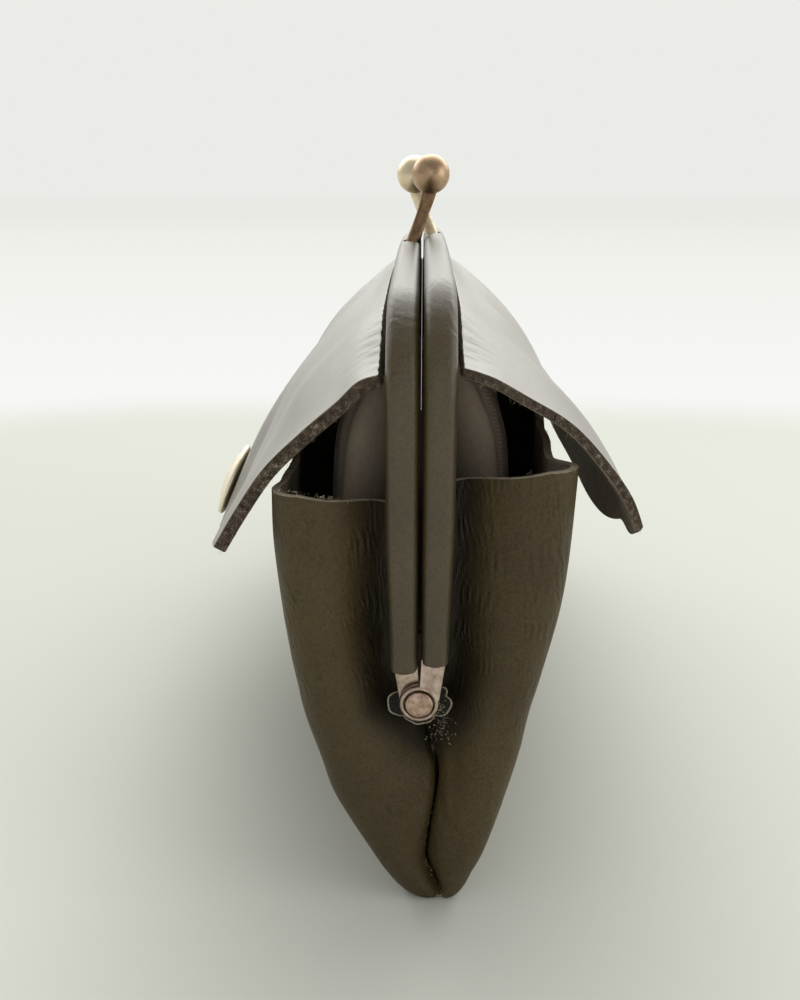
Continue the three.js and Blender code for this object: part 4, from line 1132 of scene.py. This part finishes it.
for name, profile, face in (("cap_dome", cap_profile, SNAP_FACE), ("magnet_cup", cup_profile, -SNAP_FACE)):
    turned_piece(
        f"snap_{name}", [(radius, face + height) for radius, height in profile], SNAP_SIDES, snap_middle,
        snap_out, snap_metal, "snap_cap_front")
stud_y = MID_HALF_WIDTH * float(curve(WALL_TABLE, "mid", STUD_Z / WALL_HEIGHT)) + CLEAR
stud_profile = [
    (0, 0), (4.3, 0), (4.7, 0.2), (4.95, 0.7), (5.0, 1.3), (4.85, 1.6), (4.5, 1.75), (2.4, 1.75), (2.2, 1.3),
    (0, 1.3)]
turned_piece(
    "snap_plate", stud_profile, STUD_SIDES, [0, -stud_y, STUD_Z], [0, -1, 0], snap_metal,
    "snap_stud_front")

# %% [markdown]
# ## Fibres and crumbs
#
# Cut leather is never quite clean: hairs stand out of the flaps' cut ends and the pockets' rims, and the
# raw seam under the purse shows torn fibre and a few bright crumbs. A hair is a three-sided tapered tube
# on a bent line, so that thousands would still be light; its root is a point picked on an edge.

# %% Fibres
choose = np.random.default_rng(7)


def pick(line, count, spread):
    """Random places along a line of points, shaken a little."""
    place = np.sort(choose.uniform(0, len(line) - 1.001, count))
    i = place.astype(int)
    return line[i] + (line[i + 1] - line[i]) * (place - i)[:, None] + choose.normal(0, spread, (count, 3))


TUFTS = 26  # along each pocket's rim
TUFT_HAIRS = 7
# under the pad
LOOSE_LINE = np.array([[85.6, 2.5, 30.0], [85.4, 4.5, 33.5], [85.2, 3.0, 35.0], [85.0, -4.0, 37.0]])
hairs = []  # roots, direction, length
for half in SIDE:
    grid = flaps[half][1]
    rows = (-1, 0) if half == "back" else (0, -1)
    for end, row in zip((1, -1), rows):
        hairs.append((pick(grid[row, 4:] - [0, 0, 0.6], 90, 0.3), [end, 0, -0.5], 0.7))
    wall_points = walls[half][1]
    tufts = np.repeat(pick(wall_points[-1], TUFTS, 0.1), TUFT_HAIRS, axis=0)
    roots = tufts + choose.normal(0, 0.45, (TUFTS * TUFT_HAIRS, 3)) * [1, 1, 0.3]
    hairs.append((roots, [0, -0.35 * SIDE[half], 1.0], 0.45))
    seam_line = wall_points[4:26, 0 if half == "front" else -1]
    for mirror in (1, -1):
        hairs.append((pick(seam_line * [mirror, 1, 1], 36, 0.2), [mirror, 0, -0.4], 0.8))
for end in (1, -1):
    hairs.append((pick(LOOSE_LINE * [end, 1, 1], 40, 0.7), [end, 0.3, -0.3], 1.1))
roots = np.concatenate([place for place, aim, length in hairs])
aims = np.concatenate([np.broadcast_to(np.array(aim, float), place.shape) for place, aim, length in hairs])
lengths = np.concatenate([np.full(len(place), length) for place, aim, length in hairs])
fibres("leather_fibres", roots, aims, lengths, fibre_tip, 8)

# %% Crumbs along the raw seam, on the front pocket's rim, on the pad and under the hinge
DRIED_LINE = np.array([[PAD_FACE_X + 0.1, 2.6, HINGE_Z - 3.4], [PAD_FACE_X + 0.1, 4.0, HINGE_Z - 2.0]])
SPECK_LINE = np.array([[85.2, 1.6, 33.0], [86.2, 4.2, 31.0], [86.0, 6.0, 32.5]])
crumb_ball = np.vstack([sign * np.eye(3)[[axis]] for axis in range(3) for sign in (1, -1)])
crumb_faces = np.array(
    [[0, 2, 4], [2, 1, 4], [1, 3, 4], [3, 0, 4], [2, 0, 5], [1, 2, 5], [3, 1, 5], [0, 3, 5]])
wall_points = walls["front"][1]
places = []
for end in (1, -1):
    places.append(pick(wall_points[4:24, 0 if end > 0 else -1] + [end * 1.3, 0.35, 0], 34, 0.2))
    rim = wall_points[-1, 34:56] if end > 0 else wall_points[-1, -56:-34]
    places.append(pick(rim + [0, 0.3, 0.5], 34, 0.15))
    places.append(pick(DRIED_LINE * [end, 1, 1], 46, 0.45))
    places.append(pick(SPECK_LINE * [end, 1, 1], 40, 0.8))
places = np.concatenate(places)
size = choose.uniform(0.06, 0.17, (len(places), 1, 3))
crumb_points = (places[:, None] + crumb_ball[None] * size).reshape(-1, 3)
crumb_index = (crumb_faces[None] + 6 * np.arange(len(places))[:, None, None]).reshape(-1, 3)
add_piece("leather_crumbs", crumb_points, [], crumb_index, [fibre_tip])
print("fibres:", len(roots), "crumbs:", len(places))

# %% [markdown]

# %% [markdown]
# ## Floor and light
#
# The purse stands on a pale grey table top in a white room. The room is one smooth field of light: as
# bright as white paper behind the purse, dimmer on the camera's side, and brightest in a broad window
# high behind the purse, just above the picture. The window draws the white sheen along the flaps' tops
# and leaves the near end in soft shade. The floor fades into the room's own white with the distance,
# measured with fourth powers so that the fading starts along an almost straight line.

# %% Floor and background
FADE_START, FADE_END = 0.235, 0.34  # metres from the purse
FLOOR_HALF = 8000  # mm


def table_material():
    """Pale table: with the distance its own colour gives way to a glow as bright as the room behind it."""
    material, tree, shader, place = new_material("pale_table")
    split = add_node(tree, "ShaderNodeSeparateXYZ", {"Vector": place})
    fourth = [
        add_node(tree, "ShaderNodeMath", {0: split.outputs[axis], 1: 4.0}, operation="POWER")
        for axis in "XY"]
    total = add_node(tree, "ShaderNodeMath", {0: fourth[0], 1: fourth[1]}, operation="ADD")
    away = add_node(tree, "ShaderNodeMath", {0: total, 1: 0.25}, operation="POWER")
    fade = add_node(
        tree, "ShaderNodeMapRange", {"Value": away, "From Min": FADE_START, "From Max": FADE_END},
        interpolation_type="SMOOTHERSTEP")
    colour = ramp(tree, fade, [(0.0, "#d1d2ca"), (1.0, "#000000")])
    far = add_node(tree, "ShaderNodeMapRange", {"Value": away, "From Min": 0.3, "From Max": 3.0})
    glow = ramp(tree, far, [(0.0, "#f7f7f6"), (0.2, "#f2f3ee"), (1.0, "#e9eae5")])
    plug(shader, {
        "Base Color": colour, "Emission Color": glow, "Emission Strength": fade, "Roughness": 0.6,
        "Specular IOR Level": 0.0})
    return material


floor_line = np.linspace(-FLOOR_HALF, FLOOR_HALF, 3)
floor_grid = np.stack(np.meshgrid(floor_line, floor_line, [0.0], indexing="ij"), axis=-1)
floor_mesh = bpy.data.meshes.new("floor")
floor_mesh.from_pydata((floor_grid.reshape(-1, 3) * MM).tolist(), [], grid_faces(3, 3).tolist())
floor_mesh.materials.append(table_material())
floor = bpy.data.objects.new("floor", floor_mesh)
scene.collection.objects.link(floor)
floor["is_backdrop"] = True

# %% Light
world = bpy.data.worlds.new("studio")
world.use_nodes = True
tree = world.node_tree
direction = add_node(tree, "ShaderNodeTexCoord").outputs["Generated"]
toward = add_node(tree, "ShaderNodeSeparateXYZ", {"Vector": direction})
room, high, back = [
    add_node(
        tree, "ShaderNodeMapRange",
        {"Value": toward.outputs[axis], "From Min": start, "From Max": end, "To Min": low, "To Max": top},
        interpolation_type="SMOOTHSTEP")
    for axis, start, end, low, top in (
        ("X", -0.8, 0.5, 0.86, 0.45),  # the room, dimmer on the camera's side
        ("Z", 0.16, 0.36, 0.0, 1.0),  # the window's lower edge
        ("X", -0.2, -0.75, 0.0, 2.8))]  # the window behind the purse
window = add_node(tree, "ShaderNodeMath", {0: high, 1: back, 2: room}, operation="MULTIPLY_ADD")
background = tree.nodes["Background"]
plug(background, {"Color": linear("#fbfcf8"), "Strength": window})
scene.world = world
scene.view_settings.view_transform = "Standard"


def area_light(name, place, target, size, power):
    """A square soft box at place, in metres, that faces target."""
    data = bpy.data.lights.new(name, "AREA")
    data.size = size
    data.energy = power
    light = bpy.data.objects.new(name, data)
    light.location = place
    direction = np.array(target) - np.array(place)
    light.rotation_euler = Vector(direction).to_track_quat("-Z", "Y").to_euler()
    scene.collection.objects.link(light)


area_light("ceiling", (-0.7, 0.1, 1.5), (0, 0, 0.05), 1.4, 4)
area_light("side", (0.3, 0.8, 0.3), (0.05, 0.02, 0.07), 0.5, 1.6)
area_light("fill", (0.5, 0.0, 0.2), (0, 0, 0.06), 0.25, 0.12)

# %% Sizes for the record, and the end of the script
new_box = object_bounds()
boxes = {"cad": [list(corner) for corner in cad_box], "visual": [list(corner) for corner in new_box]}
for name, box in boxes.items():
    print(name, "box in mm:", [[round(value / MM, 1) for value in corner] for corner in box])
